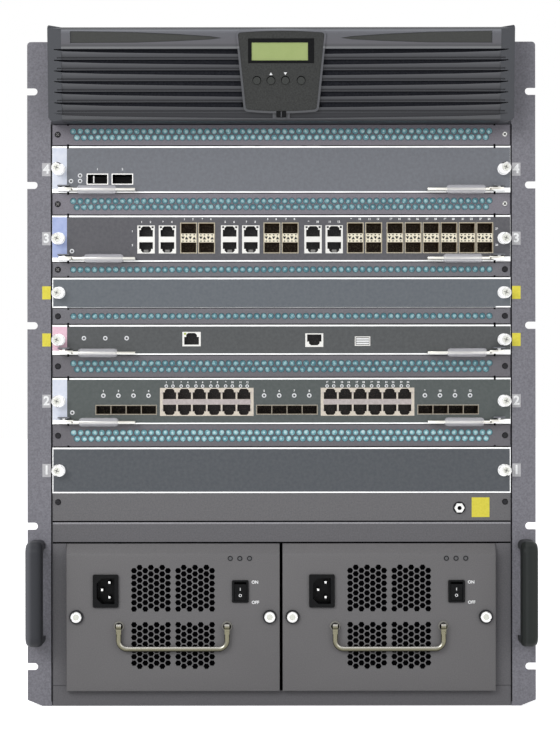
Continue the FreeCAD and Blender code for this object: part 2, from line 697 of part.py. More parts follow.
def cage(x0, z0, columns, width, height, middle=None):
    """A sheet cage for plug-in optics: one row of mouths, or two with a plate between them."""
    rows = 1 if middle is None else 2
    back = PORT_FRONT + PORT_DEPTH + CAGE_LONGER
    block = box(x0, x0 + width, PORT_FRONT, back, z0, z0 + height)
    cell = (width - PORT_FRAME) / columns
    tall = (height - (middle or 0) - 2 * PORT_FRAME) / rows
    mouths = []
    for i in range(columns):
        low_x = x0 + PORT_FRAME + i * cell
        for j in range(rows):
            low_z = z0 + PORT_FRAME + j * (tall + (middle or 0))
            mouths.append(box(low_x, low_x + cell - PORT_FRAME, PORT_FRONT - 1, back - 2, low_z, low_z + tall))
    return cut(block, mouths)


def placed(name, columns, rise, width, height):
    """Lower corners of a row of port blocks, and the windows that they need in the faceplate."""
    z = SLOT_Z[name][0] + rise
    corners = [(across(x), z) for x in columns]
    return corners, [(x, x + width, z, z + height) for x, z in corners]


def card_3_ports():
    jack_w = across(JACK_W)
    stack_w = across(STACK_W)
    jack_spots, jack_windows = placed("card_3", JACK_STACKS_X, PORT_RISE, jack_w, JACK_H)
    cage_spots, cage_windows = placed("card_3", SFP_STACKS_X, PORT_RISE, stack_w, STACK_H)
    jacks = [jack_block(x, z, 1, jack_w, jack_w, JACK_H) for x, z in jack_spots]
    cages = [cage(x, z, 1, stack_w, STACK_H, STACK_MIDDLE) for x, z in cage_spots]
    return Part.makeCompound(jacks), Part.makeCompound(cages), jack_windows + cage_windows


def card_2_ports():
    block_w = across(JACK_BLOCK_W)
    row_w = across(SFP_ROW_W)
    pitch = across(JACK_BLOCK_PITCH)
    jack_spots, jack_windows = placed("card_2", JACK_BLOCK_X, PORT_RISE, block_w, JACK_H)
    cage_spots, cage_windows = placed("card_2", SFP_ROW_X, SFP_ROW_RISE, row_w, SFP_ROW_H)
    blocks = [jack_block(x, z, JACK_BLOCK_COLUMNS, pitch, block_w, JACK_H) for x, z in jack_spots]
    cages = [cage(x, z, SFP_ROW_MOUTHS, row_w, SFP_ROW_H) for x, z in cage_spots]
    return Part.makeCompound(blocks), Part.makeCompound(cages), jack_windows + cage_windows


def card_4_ports():
    spots, windows = placed("card_4", XFP_X, PORT_RISE, across(XFP_W), XFP_H)
    return Part.makeCompound([cage(x, z, 1, across(XFP_W), XFP_H) for x, z in spots]), windows


def control_ports():
    """A console jack, a management jack and a narrow socket."""
    shapes = []
    windows = []
    for x, rise, width, height in CONTROL_JACKS + (USB,):
        spots, window = placed("control_card", (x,), rise, across(width), height)
        windows += window
        place = (spots[0][0], spots[0][1])
        if (x, rise, width, height) == USB:
            shapes.append(cage(*place, 1, across(width), height))
        else:
            shapes.append(single_jack(*place, across(width), height, x < 0))
    return Part.makeCompound(shapes), windows


# ---- power units ------------------------------------------------------------------------------------------------
def hex_block(cx, cz):
    """A block of flat-topped six-sided vent holes in staggered columns."""
    holes = []
    for column in range(HEX_COLS):
        x = cx + (column - (HEX_COLS - 1) / 2.0) * HEX_PITCH_X
        rise = HEX_PITCH_Z / 4 if column % 2 else -HEX_PITCH_Z / 4
        for row in range(HEX_ROWS):
            z = cz + (row - (HEX_ROWS - 1) / 2.0) * HEX_PITCH_Z + rise
            outline = [(x + dx, z + dz) for dx, dz in ring_points(HEX_AF / math.sqrt(3), 6)]
            holes.append(prism_y(outline, -PSU_PROUD - 1, -PSU_PROUD + PSU_WALL + 1))
    return holes


def unit_profile(inset, back):
    """Side outline (y, z) of a power unit's face pan: upright front with a sloped brow."""
    low = PSU_Z0 + inset
    high = PSU_TOP - inset
    front = -PSU_PROUD + inset
    return [(back, low), (front, low), (front, high - PSU_SLOPE_H), (front + PSU_SLOPE_D, high), (back, high)]


def bail_boss(cx, side):
    """A round boss with a slot for the bail's eye and a cross pin through both cheeks."""
    x = cx + side * BAIL_X
    front = -PSU_PROUD - BOSS_L
    half = BAIL_EYE_T / 2 + MOVE_GAP
    reach = half + BOSS_CHEEK
    boss = rod(BOSS_R, (x, front, BAIL_Z), (x, -PSU_PROUD, BAIL_Z))
    boss = boss.cut(box(x - half, x + half, front - 1, -PSU_PROUD, BAIL_Z - THROUGH, BAIL_Z + THROUGH))
    return fused([boss, rod(BAIL_PIN_R, (x - reach, BAIL_PIVOT_Y, BAIL_Z), (x + reach, BAIL_PIVOT_Y, BAIL_Z))])


def unit_screw(cx, side):
    x = cx + side * (PSU_HALF - UNIT_SCREW_INSET)
    return rod(UNIT_SCREW_R, (x, -PSU_PROUD - UNIT_SCREW_T, UNIT_SCREW_Z), (x, -PSU_PROUD, UNIT_SCREW_Z))


def fitting_window(x, z, width, height, lip):
    """A cutter for the hole in a unit's face behind the flange of an inlet or a switch."""
    return box(x - width / 2 + lip, x + width / 2 - lip, -PSU_PROUD - 1, -PSU_PROUD + PSU_WALL + 1,
               z - height / 2 + lip, z + height / 2 - lip)


def psu_faceplate(cx):
    pan = prism_x(unit_profile(0, FACE_BACK), cx - PSU_HALF, cx + PSU_HALF)
    inner = PSU_HALF - PSU_WALL
    pan = pan.cut(prism_x(unit_profile(PSU_WALL, THROUGH), cx - inner, cx + inner))
    tools = [h for bx in (-VENT_BLOCK_X, VENT_BLOCK_X) for bz in VENT_BLOCK_ZS for h in hex_block(cx + bx, bz)]
    tools.append(fitting_window(cx - SOCKET_X, INLET_Z, INLET_W, INLET_H, INLET_LIP - MOVE_GAP))
    tools.append(fitting_window(cx + SOCKET_X, ROCKER_Z, SWITCH_W, SWITCH_H, SWITCH_LIP - MOVE_GAP / 3))
    fittings = [make(cx, side) for make in (bail_boss, unit_screw) for side in (-1, 1)]
    return fused([cut(pan, tools)] + fittings)


def fan_duct(cx, low, high):
    """A plate behind the fan with a round window, a cross of spokes and the fan's pin."""
    front = FAN_Y + FAN_DEPTH / 2 + MOVE_GAP
    rear = front + DUCT_T
    half = FAN_R + DUCT_EDGE
    arm = FAN_R + DUCT_EDGE / 2
    plate = box(cx - half, cx + half, front, rear, low, high)
    plate = plate.cut(rod(FAN_R + 1, (cx, front - 1, FAN_Z), (cx, rear + 1, FAN_Z)))
    spokes = [box(cx - arm, cx + arm, front, rear, FAN_Z - SPOKE_W / 2, FAN_Z + SPOKE_W / 2),
              box(cx - SPOKE_W / 2, cx + SPOKE_W / 2, front, rear, FAN_Z - arm, FAN_Z + arm)]
    pin = rod(FAN_PIN_R, (cx, FAN_Y - FAN_DEPTH / 2 - 1, FAN_Z), (cx, rear, FAN_Z))
    return [plate, pin] + spokes


def psu_case(cx):
    """The unit's box, with its circuit board, large parts, fan duct and rear plug."""
    half = PSU_HALF - CASE_INSET
    low = PSU_Z0 + CASE_RISE
    high = PSU_TOP - CASE_TOP_GAP
    floor = low + CASE_SIDE
    inner_half = half - CASE_SIDE
    shell = box(cx - half, cx + half, FACE_BACK, PSU_D, low, high)
    shell = shell.cut(box(cx - inner_half, cx + inner_half, FACE_BACK - 1, PSU_D - CASE_SIDE, floor,
                          high - CASE_SIDE))
    near, far = UNIT_BOARD_Y
    inside = [box(cx - inner_half + DUCT_EDGE, cx + inner_half - DUCT_EDGE, near, far, floor, floor + BOARD_T)]
    for x0, x1, y0, y1, height in UNIT_BLOCKS:
        inside.append(box(cx + x0, cx + x1, y0, y1, floor, low + height))
    plug = box(cx - UNIT_PLUG_HALF_W, cx + UNIT_PLUG_HALF_W, PSU_D, PSU_D + UNIT_PLUG_D, low + UNIT_PLUG_RISE,
               low + UNIT_PLUG_RISE + UNIT_PLUG_D)
    return fused([shell, plug] + inside + fan_duct(cx, floor, high - CASE_SIDE))


def psu_fan(cx):
    """Hub and pitched blades."""
    front = FAN_Y - FAN_DEPTH / 2
    rear = front + FAN_DEPTH
    blades = []
    for i in range(FAN_BLADES):
        blade = box(FAN_HUB_R - 2, FAN_R, -FAN_DEPTH, FAN_DEPTH, -BLADE_T / 2, BLADE_T / 2)
        blade.rotate(V(0, 0, 0), V(1, 0, 0), BLADE_PITCH)
        blade.rotate(V(0, 0, 0), V(0, 1, 0), 360.0 * i / FAN_BLADES)
        blade.translate(V(cx, FAN_Y, FAN_Z))
        blades.append(blade)
    disc = rod(FAN_R, (cx, front, FAN_Z), (cx, rear, FAN_Z))
    hub = rod(FAN_HUB_R, (cx, front, FAN_Z), (cx, rear, FAN_Z))
    bore = rod(FAN_PIN_R + PIN_FIT, (cx, front - 1, FAN_Z), (cx, rear + 1, FAN_Z))
    return fused([hub] + [blade.common(disc) for blade in blades]).cut(bore)


def psu_inlet(cx):
    """An appliance inlet turned on its side: flange, shroud cavity and three blades."""
    x = cx - SOCKET_X
    z = INLET_Z
    half_w = INLET_W / 2
    half_h = INLET_H / 2
    front = -PSU_PROUD - INLET_FLANGE_T
    flange = soft_box(x - half_w, x + half_w, front, -PSU_PROUD, z - half_h, z + half_h, 1.5, V(0, 1, 0))
    core = box(x - half_w + INLET_LIP, x + half_w - INLET_LIP, -PSU_PROUD, front + CAVITY_D + 3,
               z - half_h + INLET_LIP, z + half_h - INLET_LIP)
    w = CAVITY_W / 2
    h = CAVITY_H / 2
    cut_w = CAVITY_CUT - w
    cut_h = h - CAVITY_CUT
    outline = [(-w, -cut_h), (cut_w, -h), (w, -h), (w, h), (cut_w, h), (-w, cut_h)]
    cavity = prism_y([(x + dx, z + dz) for dx, dz in outline], front - 1, front + CAVITY_D)
    pins = [box(x + dx - INLET_PIN_W / 2, x + dx + INLET_PIN_W / 2, front + 3, front + CAVITY_D,
                z + dz - INLET_PIN_H / 2, z + dz + INLET_PIN_H / 2) for dx, dz in INLET_PINS]
    return fused([fused([flange, core]).cut(cavity)] + pins)


def psu_switch_frame(cx):
    x = cx + SOCKET_X
    half_w = SWITCH_W / 2
    half_h = SWITCH_H / 2
    front = -PSU_PROUD - SWITCH_PROUD
    lip = soft_box(x - half_w, x + half_w, front, -PSU_PROUD, ROCKER_Z - half_h, ROCKER_Z + half_h, 1.2,
                   V(0, 1, 0))
    body = box(x - half_w + SWITCH_LIP, x + half_w - SWITCH_LIP, -PSU_PROUD, 4, ROCKER_Z - half_h + SWITCH_LIP,
               ROCKER_Z + half_h - SWITCH_LIP)
    well_w = half_w - SWITCH_WALL - 0.5
    well = box(x - well_w, x + well_w, front - 1, 2.5, ROCKER_Z - half_h + SWITCH_WALL,
               ROCKER_Z + half_h - SWITCH_WALL)
    return fused([lip, body]).cut(well)


def psu_rocker(cx):
    """A two-faced rocker that rests with its upper half pressed in."""
    half_w = SWITCH_W / 2 - SWITCH_WALL - 0.5 - MOVE_GAP
    reach = SWITCH_H / 2 - SWITCH_WALL - 1.0
    front = -PSU_PROUD - SWITCH_PROUD - ROCKER_PIVOT_Y
    swell = reach * math.tan(math.radians(ROCKER_SWING / 2))
    outline = [(front - 0.4, -reach), (front + swell, 0), (front - 0.4, reach), (2.2, reach - 2.5),
               (4.0, 0), (2.2, -reach + 2.5)]
    shape = prism_x(outline, -half_w, half_w)
    shape.rotate(V(0, 0, 0), V(1, 0, 0), ROCKER_SWING / 2)
    shape.translate(V(cx + SOCKET_X, ROCKER_PIVOT_Y, ROCKER_Z))
    return shape


def bail_path(cx):
    """Centre line of the bail's rod: down, across with two bends, and up again."""
    x = BAIL_X
    y = BAIL_PIVOT_Y
    low = BAIL_Z - BAIL_DROP
    turn = BAIL_CORNER_R
    swing = turn * (1 - math.cos(math.radians(45)))
    points = [V(cx - x, y, BAIL_Z), V(cx - x, y, low + turn), V(cx - x + turn, y, low),
              V(cx + x - turn, y, low), V(cx + x, y, low + turn), V(cx + x, y, BAIL_Z)]
    bends = [V(cx - x + swing, y, low + swing), V(cx + x - swing, y, low + swing)]
    return Part.Wire([Part.LineSegment(points[0], points[1]).toShape(),
                      Part.Arc(points[1], bends[0], points[2]).toShape(),
                      Part.LineSegment(points[2], points[3]).toShape(),
                      Part.Arc(points[3], bends[1], points[4]).toShape(),
                      Part.LineSegment(points[4], points[5]).toShape()])


def psu_bail(cx):
    """A drop handle of round rod with flat eyes at both ends."""
    y = BAIL_PIVOT_Y
    flat = BAIL_ROD_R * math.sqrt(0.5)
    half = BAIL_EYE_T / 2
    section = Part.Wire([Part.Circle(V(cx - BAIL_X, y, BAIL_Z), V(0, 0, 1), BAIL_ROD_R).toShape()])
    loop = bail_path(cx).makePipeShell([section], True, False)
    shapes = []
    for sx in (cx - BAIL_X, cx + BAIL_X):
        loop = loop.cut(box(sx - 5, sx + 5, y - 5, y + 5, BAIL_Z - 4.5, BAIL_Z + 5))
        eye = rod(BAIL_EYE_R, (sx - half, y, BAIL_Z), (sx + half, y, BAIL_Z))
        neck = box(sx - half, sx + half, y - flat, y + flat, BAIL_Z - BAIL_NECK, BAIL_Z)
        bore = rod(BAIL_PIN_R + PIN_FIT, (sx - THROUGH, y, BAIL_Z), (sx + THROUGH, y, BAIL_Z))
        shapes.append(fused([eye, neck]).cut(bore))
    return fused([loop] + shapes)


# ---- bezel ------------------------------------------------------------------------------------------------------
def lean(shape):
    """Set a shape drawn on an upright face at the bezel's foot onto the leaning front."""
    shape = shape.copy()
    shape.rotate(V(0, 0, 0), V(1, 0, 0), LEAN)
    shape.translate(V(0, -BEZEL_FOOT_D, BEZEL_Z0))
    return shape


def both(shape):
    """A leaning cutter and its mirror image."""
    return [lean(shape), lean(mirror_x(shape))]


def bezel_profile(inset, back):
    """Side outline (y, z): flat foot, leaning front, softened brow and flat top."""
    foot = -BEZEL_FOOT_D + inset
    brow = foot - BEZEL_LEAN
    low = BEZEL_Z0 + inset
    high = BEZEL_Z0 + BEZEL_H - inset
    soft = BEZEL_TOP_R * 0.3
    return [(back, low), (foot + soft, low), (foot, low + soft), (brow, high - BEZEL_TOP_R),
            (brow + soft, high - soft), (brow + BEZEL_TOP_R, high), (back, high)]


def end_facets(depth):
    """Cutters that turn the bezel's ends back from a crease, at a depth behind the front."""
    past = BEZEL_HALF_W + CAP_W
    outline = [(CREASE_X, depth), (past, depth + 2 * CAP_TURN), (past, -THROUGH), (CREASE_X, -THROUGH)]
    return both(prism_z(outline, -CAP_W, BEZEL_H + CAP_W))


def bezel_shell():
    """The hollow moulding before it is slotted, with raised horns and cut foot corners."""
    half = BEZEL_HALF_W
    low = BEZEL_Z0
    high = BEZEL_Z0 + BEZEL_H
    outline = [(CREASE_X, high - 1), (half, high - 1), (half, high + CAP_HORN - CAP_SNIP),
               (half - CAP_SNIP, high + CAP_HORN), (CREASE_X, high)]
    horn = prism_y(outline, -BEZEL_FOOT_D - BEZEL_LEAN + BEZEL_TOP_R, 0)
    solid = fused([prism_x(bezel_profile(0, 0), -half, half), horn, mirror_x(horn)])
    corner = prism_y([(half - CAP_FOOT_W, low), (half, low + CAP_FOOT_H), (half + 1, low - 1)], -2 * BEZEL_FOOT_D, 1)
    hollow = prism_x(bezel_profile(BEZEL_WALL, 1), -half + BEZEL_WALL, half - BEZEL_WALL)
    hollow = cut(hollow, end_facets(BEZEL_WALL))
    return cut(solid, end_facets(0) + [corner, mirror_x(corner), hollow])


def louvre_cutters():
    """Tapered slots that narrow towards the ends, sunk blades between them and a fine groove along each."""
    tools = []
    tops = [LOUVRE_TOP - i * LOUVRE_PITCH for i in range(LOUVRES)]
    for top in tops:
        outline = [(LOUVRE_X_IN, top), (LOUVRE_EDGE[0][0], top)] + [(x, top - drop) for x, drop in LOUVRE_EDGE]
        depth = LOUVRE_BLIND if top == tops[-1] else BEZEL_WALL + THROUGH
        tools += both(prism_y(outline, -THROUGH, depth))
    for top, foot in zip(tops, tops[1:]):
        crest = foot + GROOVE_RISE + GROOVE_H
        blade = [(0, top), (BLADE_SINK, crest), (BLADE_SINK, foot), (-THROUGH, foot), (-THROUGH, top)]
        groove = box(LOUVRE_X_IN, GROOVE_X_OUT, -THROUGH, BLADE_SINK + GROOVE_D, foot + GROOVE_RISE, crest)
        tools.append(lean(prism_x(blade, -CREASE_X, CREASE_X)))
        tools += both(groove)
    return tools


def panel_outline(inset):
    """The centre panel's outline: wider at the top, with an arched head and a sagging foot."""
    low = PANEL_Z0 + inset
    high = PANEL_Z1 - inset
    foot = PANEL_HALF_FOOT - inset
    head = PANEL_HALF_TOP - inset
    corners = [V(-foot, 0, low), V(foot, 0, low), V(head, 0, high), V(-head, 0, high)]
    return [Part.Arc(corners[0], V(0, 0, low - PANEL_ARCH), corners[1]), Part.LineSegment(corners[1], corners[2]),
            Part.Arc(corners[2], V(0, 0, high + PANEL_ARCH), corners[3]), Part.LineSegment(corners[3], corners[0])]


def panel_prism(inset, y0, y1, radius):
    face = Part.Face(Part.Wire([line.toShape() for line in panel_outline(inset)]))
    face.translate(V(0, y0, 0))
    shape = face.extrude(V(0, y1 - y0, 0))
    sides = [e for e in edges_along(shape, V(0, 1, 0)) if e.Curve.TypeId == "Part::GeomLine"]
    return shape.makeFillet(radius, sides)


def front_bezel():
    """The moulded louvre bezel: hollow shell, turned ends, tapered slots, inlays and a panel seat."""
    solid = cut(bezel_shell(), louvre_cutters() + both(prism_y(INLAY, -THROUGH, INLAY_DEEP)))
    seat = lean(panel_prism(0, -PANEL_PROUD, BEZEL_WALL + 1, PANEL_R))
    pocket = lean(panel_prism(PANEL_RIM, -PANEL_PROUD - 1, PANEL_BACK, PANEL_R - PANEL_RIM))
    hollow = lean(panel_prism(PANEL_RIM + PANEL_LEDGE, -3, BEZEL_WALL + THROUGH, 2.0))
    low, high = LATCH_Z
    latch = lean(box(-LATCH_HALF_W, LATCH_HALF_W, -LATCH_PROUD, 1, low, high))
    return fused([solid, seat, latch]).cut(pocket).cut(hollow)


def control_panel():
    plate = panel_prism(PANEL_RIM + MOVE_GAP / 2, -PANEL_PROUD + PANEL_FACE, PANEL_BACK, PANEL_R - PANEL_RIM)
    window = box(GLASS_X0, GLASS_X1, -THROUGH, THROUGH, GLASS_Z0, GLASS_Z0 + GLASS_H)
    recess = box(-LCD_HALF_W, LCD_HALF_W, -THROUGH, -PANEL_PROUD + LCD_RECESS, LCD_Z0, LCD_Z0 + LCD_H)
    bores = [rod(BUTTON_R + MOVE_GAP, (x, -THROUGH, BUTTON_Z), (x, THROUGH, BUTTON_Z)) for x in BUTTON_XS]
    return lean(cut(plate, [window, recess] + bores))


def lcd_display():
    """Display module behind the panel with the board that carries the switches."""
    glass_top = GLASS_Z0 + GLASS_H
    module_back = PANEL_BACK + LCD_T
    glass_gap = MOVE_GAP / 2
    module = box(GLASS_X0 - LCD_EDGE, GLASS_X1 + LCD_EDGE, PANEL_BACK, module_back, GLASS_Z0 - LCD_EDGE,
                 glass_top + LCD_EDGE)
    glass = box(GLASS_X0 + glass_gap, GLASS_X1 - glass_gap, glass_gap, PANEL_BACK, GLASS_Z0 + glass_gap,
                glass_top - glass_gap)
    circuit = box(-LCD_BOARD_HALF_W, LCD_BOARD_HALF_W, module_back, module_back + LCD_BOARD_T,
                  BUTTON_Z - LCD_BOARD_DROP, glass_top + LCD_EDGE)
    return lean(fused([module, glass, circuit]))


def menu_button(x):
    """A button with a flange behind the panel."""
    cap = rod(BUTTON_R, (x, -PANEL_PROUD - BUTTON_PROUD, BUTTON_Z), (x, BUTTON_BACK, BUTTON_Z))
    flange = rod(BUTTON_R + BUTTON_FLANGE, (x, PANEL_BACK + MOVE_GAP, BUTTON_Z), (x, BUTTON_BACK, BUTTON_Z))
    return lean(fused([cap, flange]))


# ---- fan tray ---------------------------------------------------------------------------------------------------
def tray_guard(y, z):
    """Hub and two crossed bars in front of one fan."""
    reach = TRAY_FAN_R + TRAY_FAN_WALL / 2
    shapes = [rod(TRAY_HUB_R, (0, y - TRAY_FAN_D, z), (0, y, z))]
    for turn in (45, 135):
        bar = box(-reach, reach, y - TRAY_BAR_T, y, -TRAY_BAR / 2, TRAY_BAR / 2)
        bar.rotate(V(0, 0, 0), V(0, 1, 0), turn)
        bar.translate(V(0, 0, z))
        shapes.append(bar)
    return shapes


def fan_tray():
    """Rear tray: plate with guarded openings and the fan housings behind it."""
    half = TRAY_W / 2
    side = TRAY_FAN_R + TRAY_FAN_WALL
    y = BODY_D
    pitch = TRAY_H / TRAY_FANS
    centres = [TRAY_Z0 + pitch * (i + 0.5) for i in range(TRAY_FANS)]
    plate = box(-half, half, y, y + TRAY_T, TRAY_Z0, TRAY_Z0 + TRAY_H)
    housings = [box(-side, side, y - TRAY_FAN_D, y, z - side, z + side) for z in centres]
    bores = [rod(TRAY_FAN_R, (0, y - 2 * TRAY_FAN_D, z), (0, y + THROUGH, z)) for z in centres]
    guards = [shape for z in centres for shape in tray_guard(y, z)]
    return fused([cut(fused([plate] + housings), bores)] + guards)


# ---- all pieces -------------------------------------------------------------------------------------------------
def chassis_nodes():
    ear = right_rack_ear()
    grip = right_grip()
    nodes = {"chassis_wrap": chassis_wrap(), "top_cover": top_cover(), "rear_panel": rear_panel(),
             "middle_shelf": middle_shelf(), "backplane": backplane(), "right_rack_ear": ear,
             "left_rack_ear": mirror_x(ear), "right_grip": grip, "left_grip": mirror_x(grip),
             "air_baffles": air_baffles(), "lower_strip": lower_strip(), "bay_frame": bay_frame(),
             "esd_jack": esd_jack(), "front_bezel": front_bezel(), "control_panel": control_panel(),
             "lcd_display": lcd_display(), "fan_tray": fan_tray()}
    for name in ("blank_panel_upper", "blank_panel_lower"):
        nodes[name] = blank_panel(name)
    for i, x in enumerate(BUTTON_XS):
        nodes["menu_button_%d" % (i + 1)] = menu_button(x)
    return nodes


def card_nodes(name, ports, windows):
    """Faceplate, board, port blocks and levers of one card; the board is cut clear of the blocks."""
    nodes = {"%s_%s" % (name, key): shape for key, shape in ports.items()}
    nodes[name + "_faceplate"] = faceplate(name, True, windows)
    nodes[name + "_board"] = cut(board(name), ports.values())
    nodes[name + "_left_lever"] = lever(name, -1)
    nodes[name + "_right_lever"] = lever(name, 1)
    return nodes


def power_unit_nodes(number, cx):
    makers = {"case": psu_case, "faceplate": psu_faceplate, "inlet": psu_inlet, "switch_frame": psu_switch_frame,
              "rocker": psu_rocker, "bail": psu_bail, "fan": psu_fan}
    return {"power_unit_%d_%s" % (number, key): make(cx) for key, make in makers.items()}


def build():
    nodes = chassis_nodes()
    cages_4, windows_4 = card_4_ports()
    jacks_3, cages_3, windows_3 = card_3_ports()
    jacks_2, cages_2, windows_2 = card_2_ports()
    jacks_control, windows_control = control_ports()
    nodes.update(card_nodes("card_4", {"xfp_cages": cages_4}, windows_4))
    nodes.update(card_nodes("card_3", {"jacks": jacks_3, "cages": cages_3}, windows_3))
    nodes.update(card_nodes("card_2", {"jacks": jacks_2, "cages": cages_2}, windows_2))
    nodes.update(card_nodes("control_card", {"jacks": jacks_control}, windows_control))
    for i, cx in enumerate(PSU_CENTRES):
        nodes.update(power_unit_nodes(i + 1, cx))
    return nodes


def main():
    os.makedirs("parts", exist_ok=True)
    for name, shape in build().items():
        shape.exportStep("parts/%s.step" % name)
        print(name, len(shape.Solids), shape.isValid(), round(shape.Volume, 1))


main()
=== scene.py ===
# %% [markdown]
# # Dressing a modular chassis switch
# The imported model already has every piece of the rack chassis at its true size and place. This lesson gives each
# piece its finish, and adds what a drawing in solids leaves out: printed overlays, perforations, clear sleeves on
# the ejector levers, indicator lamps and small screws.

# %% Load the frame
import bpy
import bmesh
import math
from mathutils import Matrix, Vector


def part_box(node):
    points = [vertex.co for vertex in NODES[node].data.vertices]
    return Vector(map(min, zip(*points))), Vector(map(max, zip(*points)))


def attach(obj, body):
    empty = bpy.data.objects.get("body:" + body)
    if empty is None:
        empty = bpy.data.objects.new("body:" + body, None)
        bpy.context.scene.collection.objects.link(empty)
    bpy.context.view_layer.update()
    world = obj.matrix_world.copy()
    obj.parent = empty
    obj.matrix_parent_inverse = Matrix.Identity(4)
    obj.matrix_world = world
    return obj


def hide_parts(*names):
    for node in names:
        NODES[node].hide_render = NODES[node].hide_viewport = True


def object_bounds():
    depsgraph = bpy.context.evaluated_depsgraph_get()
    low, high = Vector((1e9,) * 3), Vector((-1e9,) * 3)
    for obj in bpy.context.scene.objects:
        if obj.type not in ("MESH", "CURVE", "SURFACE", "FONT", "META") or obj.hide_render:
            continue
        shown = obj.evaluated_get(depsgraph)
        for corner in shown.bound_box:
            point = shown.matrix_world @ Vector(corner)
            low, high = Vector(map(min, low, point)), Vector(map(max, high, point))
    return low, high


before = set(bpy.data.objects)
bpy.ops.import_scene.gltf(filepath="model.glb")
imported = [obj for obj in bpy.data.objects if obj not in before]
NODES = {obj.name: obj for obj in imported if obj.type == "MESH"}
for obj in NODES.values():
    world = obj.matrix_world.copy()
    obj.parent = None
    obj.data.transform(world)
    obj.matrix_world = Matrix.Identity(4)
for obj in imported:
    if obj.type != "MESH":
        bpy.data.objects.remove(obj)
cad_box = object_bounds()
MM = 0.001
print("pieces in the frame:", len(NODES))

# %% [markdown]
# Colours are written as sRGB hex, as on a paint card. Shaders work in linear light, so one function converts them.
# A material is a small network of nodes. One more function adds a node with its settings and links, and takes
# another node as an input by its first output in use, so that each finish below stays short.


# %% Colour and node helpers
def paint(code):
    values = [int(code[i:i + 2], 16) / 255.0 for i in (1, 3, 5)]
    linear = [v / 12.92 if v <= 0.04045 else ((v + 0.055) / 1.055) ** 2.4 for v in values]
    return (*linear, 1.0)


def add(material, kind, inputs=None, **settings):
    node = material.node_tree.nodes.new("ShaderNode" + kind)
    for name, value in settings.items():
        setattr(node, name, value)
    for name, value in (inputs or {}).items():
        if isinstance(value, bpy.types.Node):
            value = next(output for output in value.outputs if output.enabled)
        if isinstance(value, bpy.types.NodeSocket):
            material.node_tree.links.new(value, node.inputs[name])
        else:
            node.inputs[name].default_value = value
    return node


def blank_material(name):
    material = bpy.data.materials.new(name)
    material.use_nodes = True
    material.node_tree.nodes.clear()
    return material


def colour_stops(ramp_node, stops):
    """Give a colour ramp its (place, colour) stops. New ones come first, since adding one moves the others."""
    elements = ramp_node.color_ramp.elements
    for place, _ in stops[1:-1]:
        elements.new(place)
    for element, (place, code) in zip(elements, stops):
        element.position = place
        element.color = paint(code)


print("mid grey in linear light:", round(paint("#808080")[0], 3))

# %% [markdown]
# Most of this chassis is a surface with a fine grain: powder coat that dried in little hills, or moulded plastic
# with a spark-eroded texture. An image of the grain would repeat and blur close up, so both are a noise pattern of
# a known grain size that shifts the colour a little and tilts the surface. A metal is the same recipe with its
# grain stretched along the brushing.


# %% A grained surface
def grained(name, dark, light, grain_mm, relief_mm, roughness, metallic=0.0, stretch=(1, 1, 1), specular=0.5):
    material = blank_material(name)
    place = add(material, "TexCoord").outputs["Object"]
    brushing = add(material, "Mapping", {"Vector": place, "Scale": stretch})
    grain = add(material, "TexNoise", {"Vector": brushing, "Scale": 1 / (grain_mm * MM), "Detail": 3.0,
                                       "Roughness": 0.6})
    tone = add(material, "ValToRGB", {"Fac": grain})
    colour_stops(tone, [(0.32, dark), (0.68, light)])
    shine = add(material, "MapRange", {"Value": grain, "To Min": roughness - 0.06, "To Max": roughness + 0.06})
    relief = add(material, "Bump", {"Height": grain, "Strength": 0.6, "Distance": relief_mm * MM})
    shader = add(material, "BsdfPrincipled", {"Base Color": tone, "Roughness": shine, "Metallic": metallic,
                                              "Normal": relief, "Specular IOR Level": specular})
    add(material, "OutputMaterial", {"Surface": shader})
    return material


print("recipe ready: grained")

# %% [markdown]
# The chassis and ears are powder coated steel in a warm purple grey. The coat has a coarse orange peel, with grains
# of about a millimetre that show as light and dark specks. Each pair of baffles has its own copy of the coat, lighter
# towards the top: lit and shaded copies, which is painted light. The dark rings at the punched holes are painted
# shade.

# %% Coated steel
chassis_coat = grained("textured powder coat, purple grey", "#706F76", "#87868D", 1.6, 0.12, 0.55, specular=0.3)
strip_coat = grained("textured powder coat, warm grey", "#656466", "#727173", 1.4, 0.10, 0.55, specular=0.3)
# Painted light: lit and shaded copies of one coat, one for each pair of baffles, lighter towards the top.
BAFFLE_LIT_TONES = [("#666469", "#747277"), ("#6C6B70", "#7B7A7F"), ("#77747B", "#86838B")]
lit_baffle_coats = [grained("textured powder coat, baffle grey %d" % number, dark, light, 1.4, 0.10, 0.55, specular=0.3)
                for number, (dark, light) in enumerate(BAFFLE_LIT_TONES, 1)]
# Painted shade: the bay frame gets a darker copy of the grey coat.
bay_coat = grained("textured powder coat, grey, painted shade", "#5F5E61", "#6B6A6D", 1.4, 0.10, 0.6, specular=0.3)
unit_coat = grained("fine powder coat, neutral grey", "#686768", "#737172", 1.0, 0.05, 0.5, specular=0.3)
galvanised = grained("zinc plated sheet", "#9A9DA0", "#B4B7BA", 9.0, 0.02, 0.4, 1.0)
# Painted highlight for a folded edge.
edge_highlight_coat = grained("powder coat, painted highlight on a folded edge", "#86858A", "#A2A1A5", 1.4, 0.10, 0.5, specular=0.4)
# Painted shade for the rims of the punched holes.
hole_rim_shade = grained("painted shade at hole rims", "#31454E", "#4A5F68", 1.0, 0.01, 0.5, specular=0.2)
# Partly painted shade: the lever tabs take a grey like the film, dark enough to stand for the shadow line over the
# bar.
tab_coat = grained("lever tab grey, partly painted shade", "#66686D", "#77797E", 1.0, 0.006, 0.5, specular=0.3)
print("coats:", chassis_coat.name, strip_coat.name, unit_coat.name)

# %% [markdown]
# Bright parts are nickel plated or bare aluminium. A metal shows what it mirrors, so its own colour stays light and
# its roughness does the work: aluminium edges are sawn and dull, screws and levers are brighter.

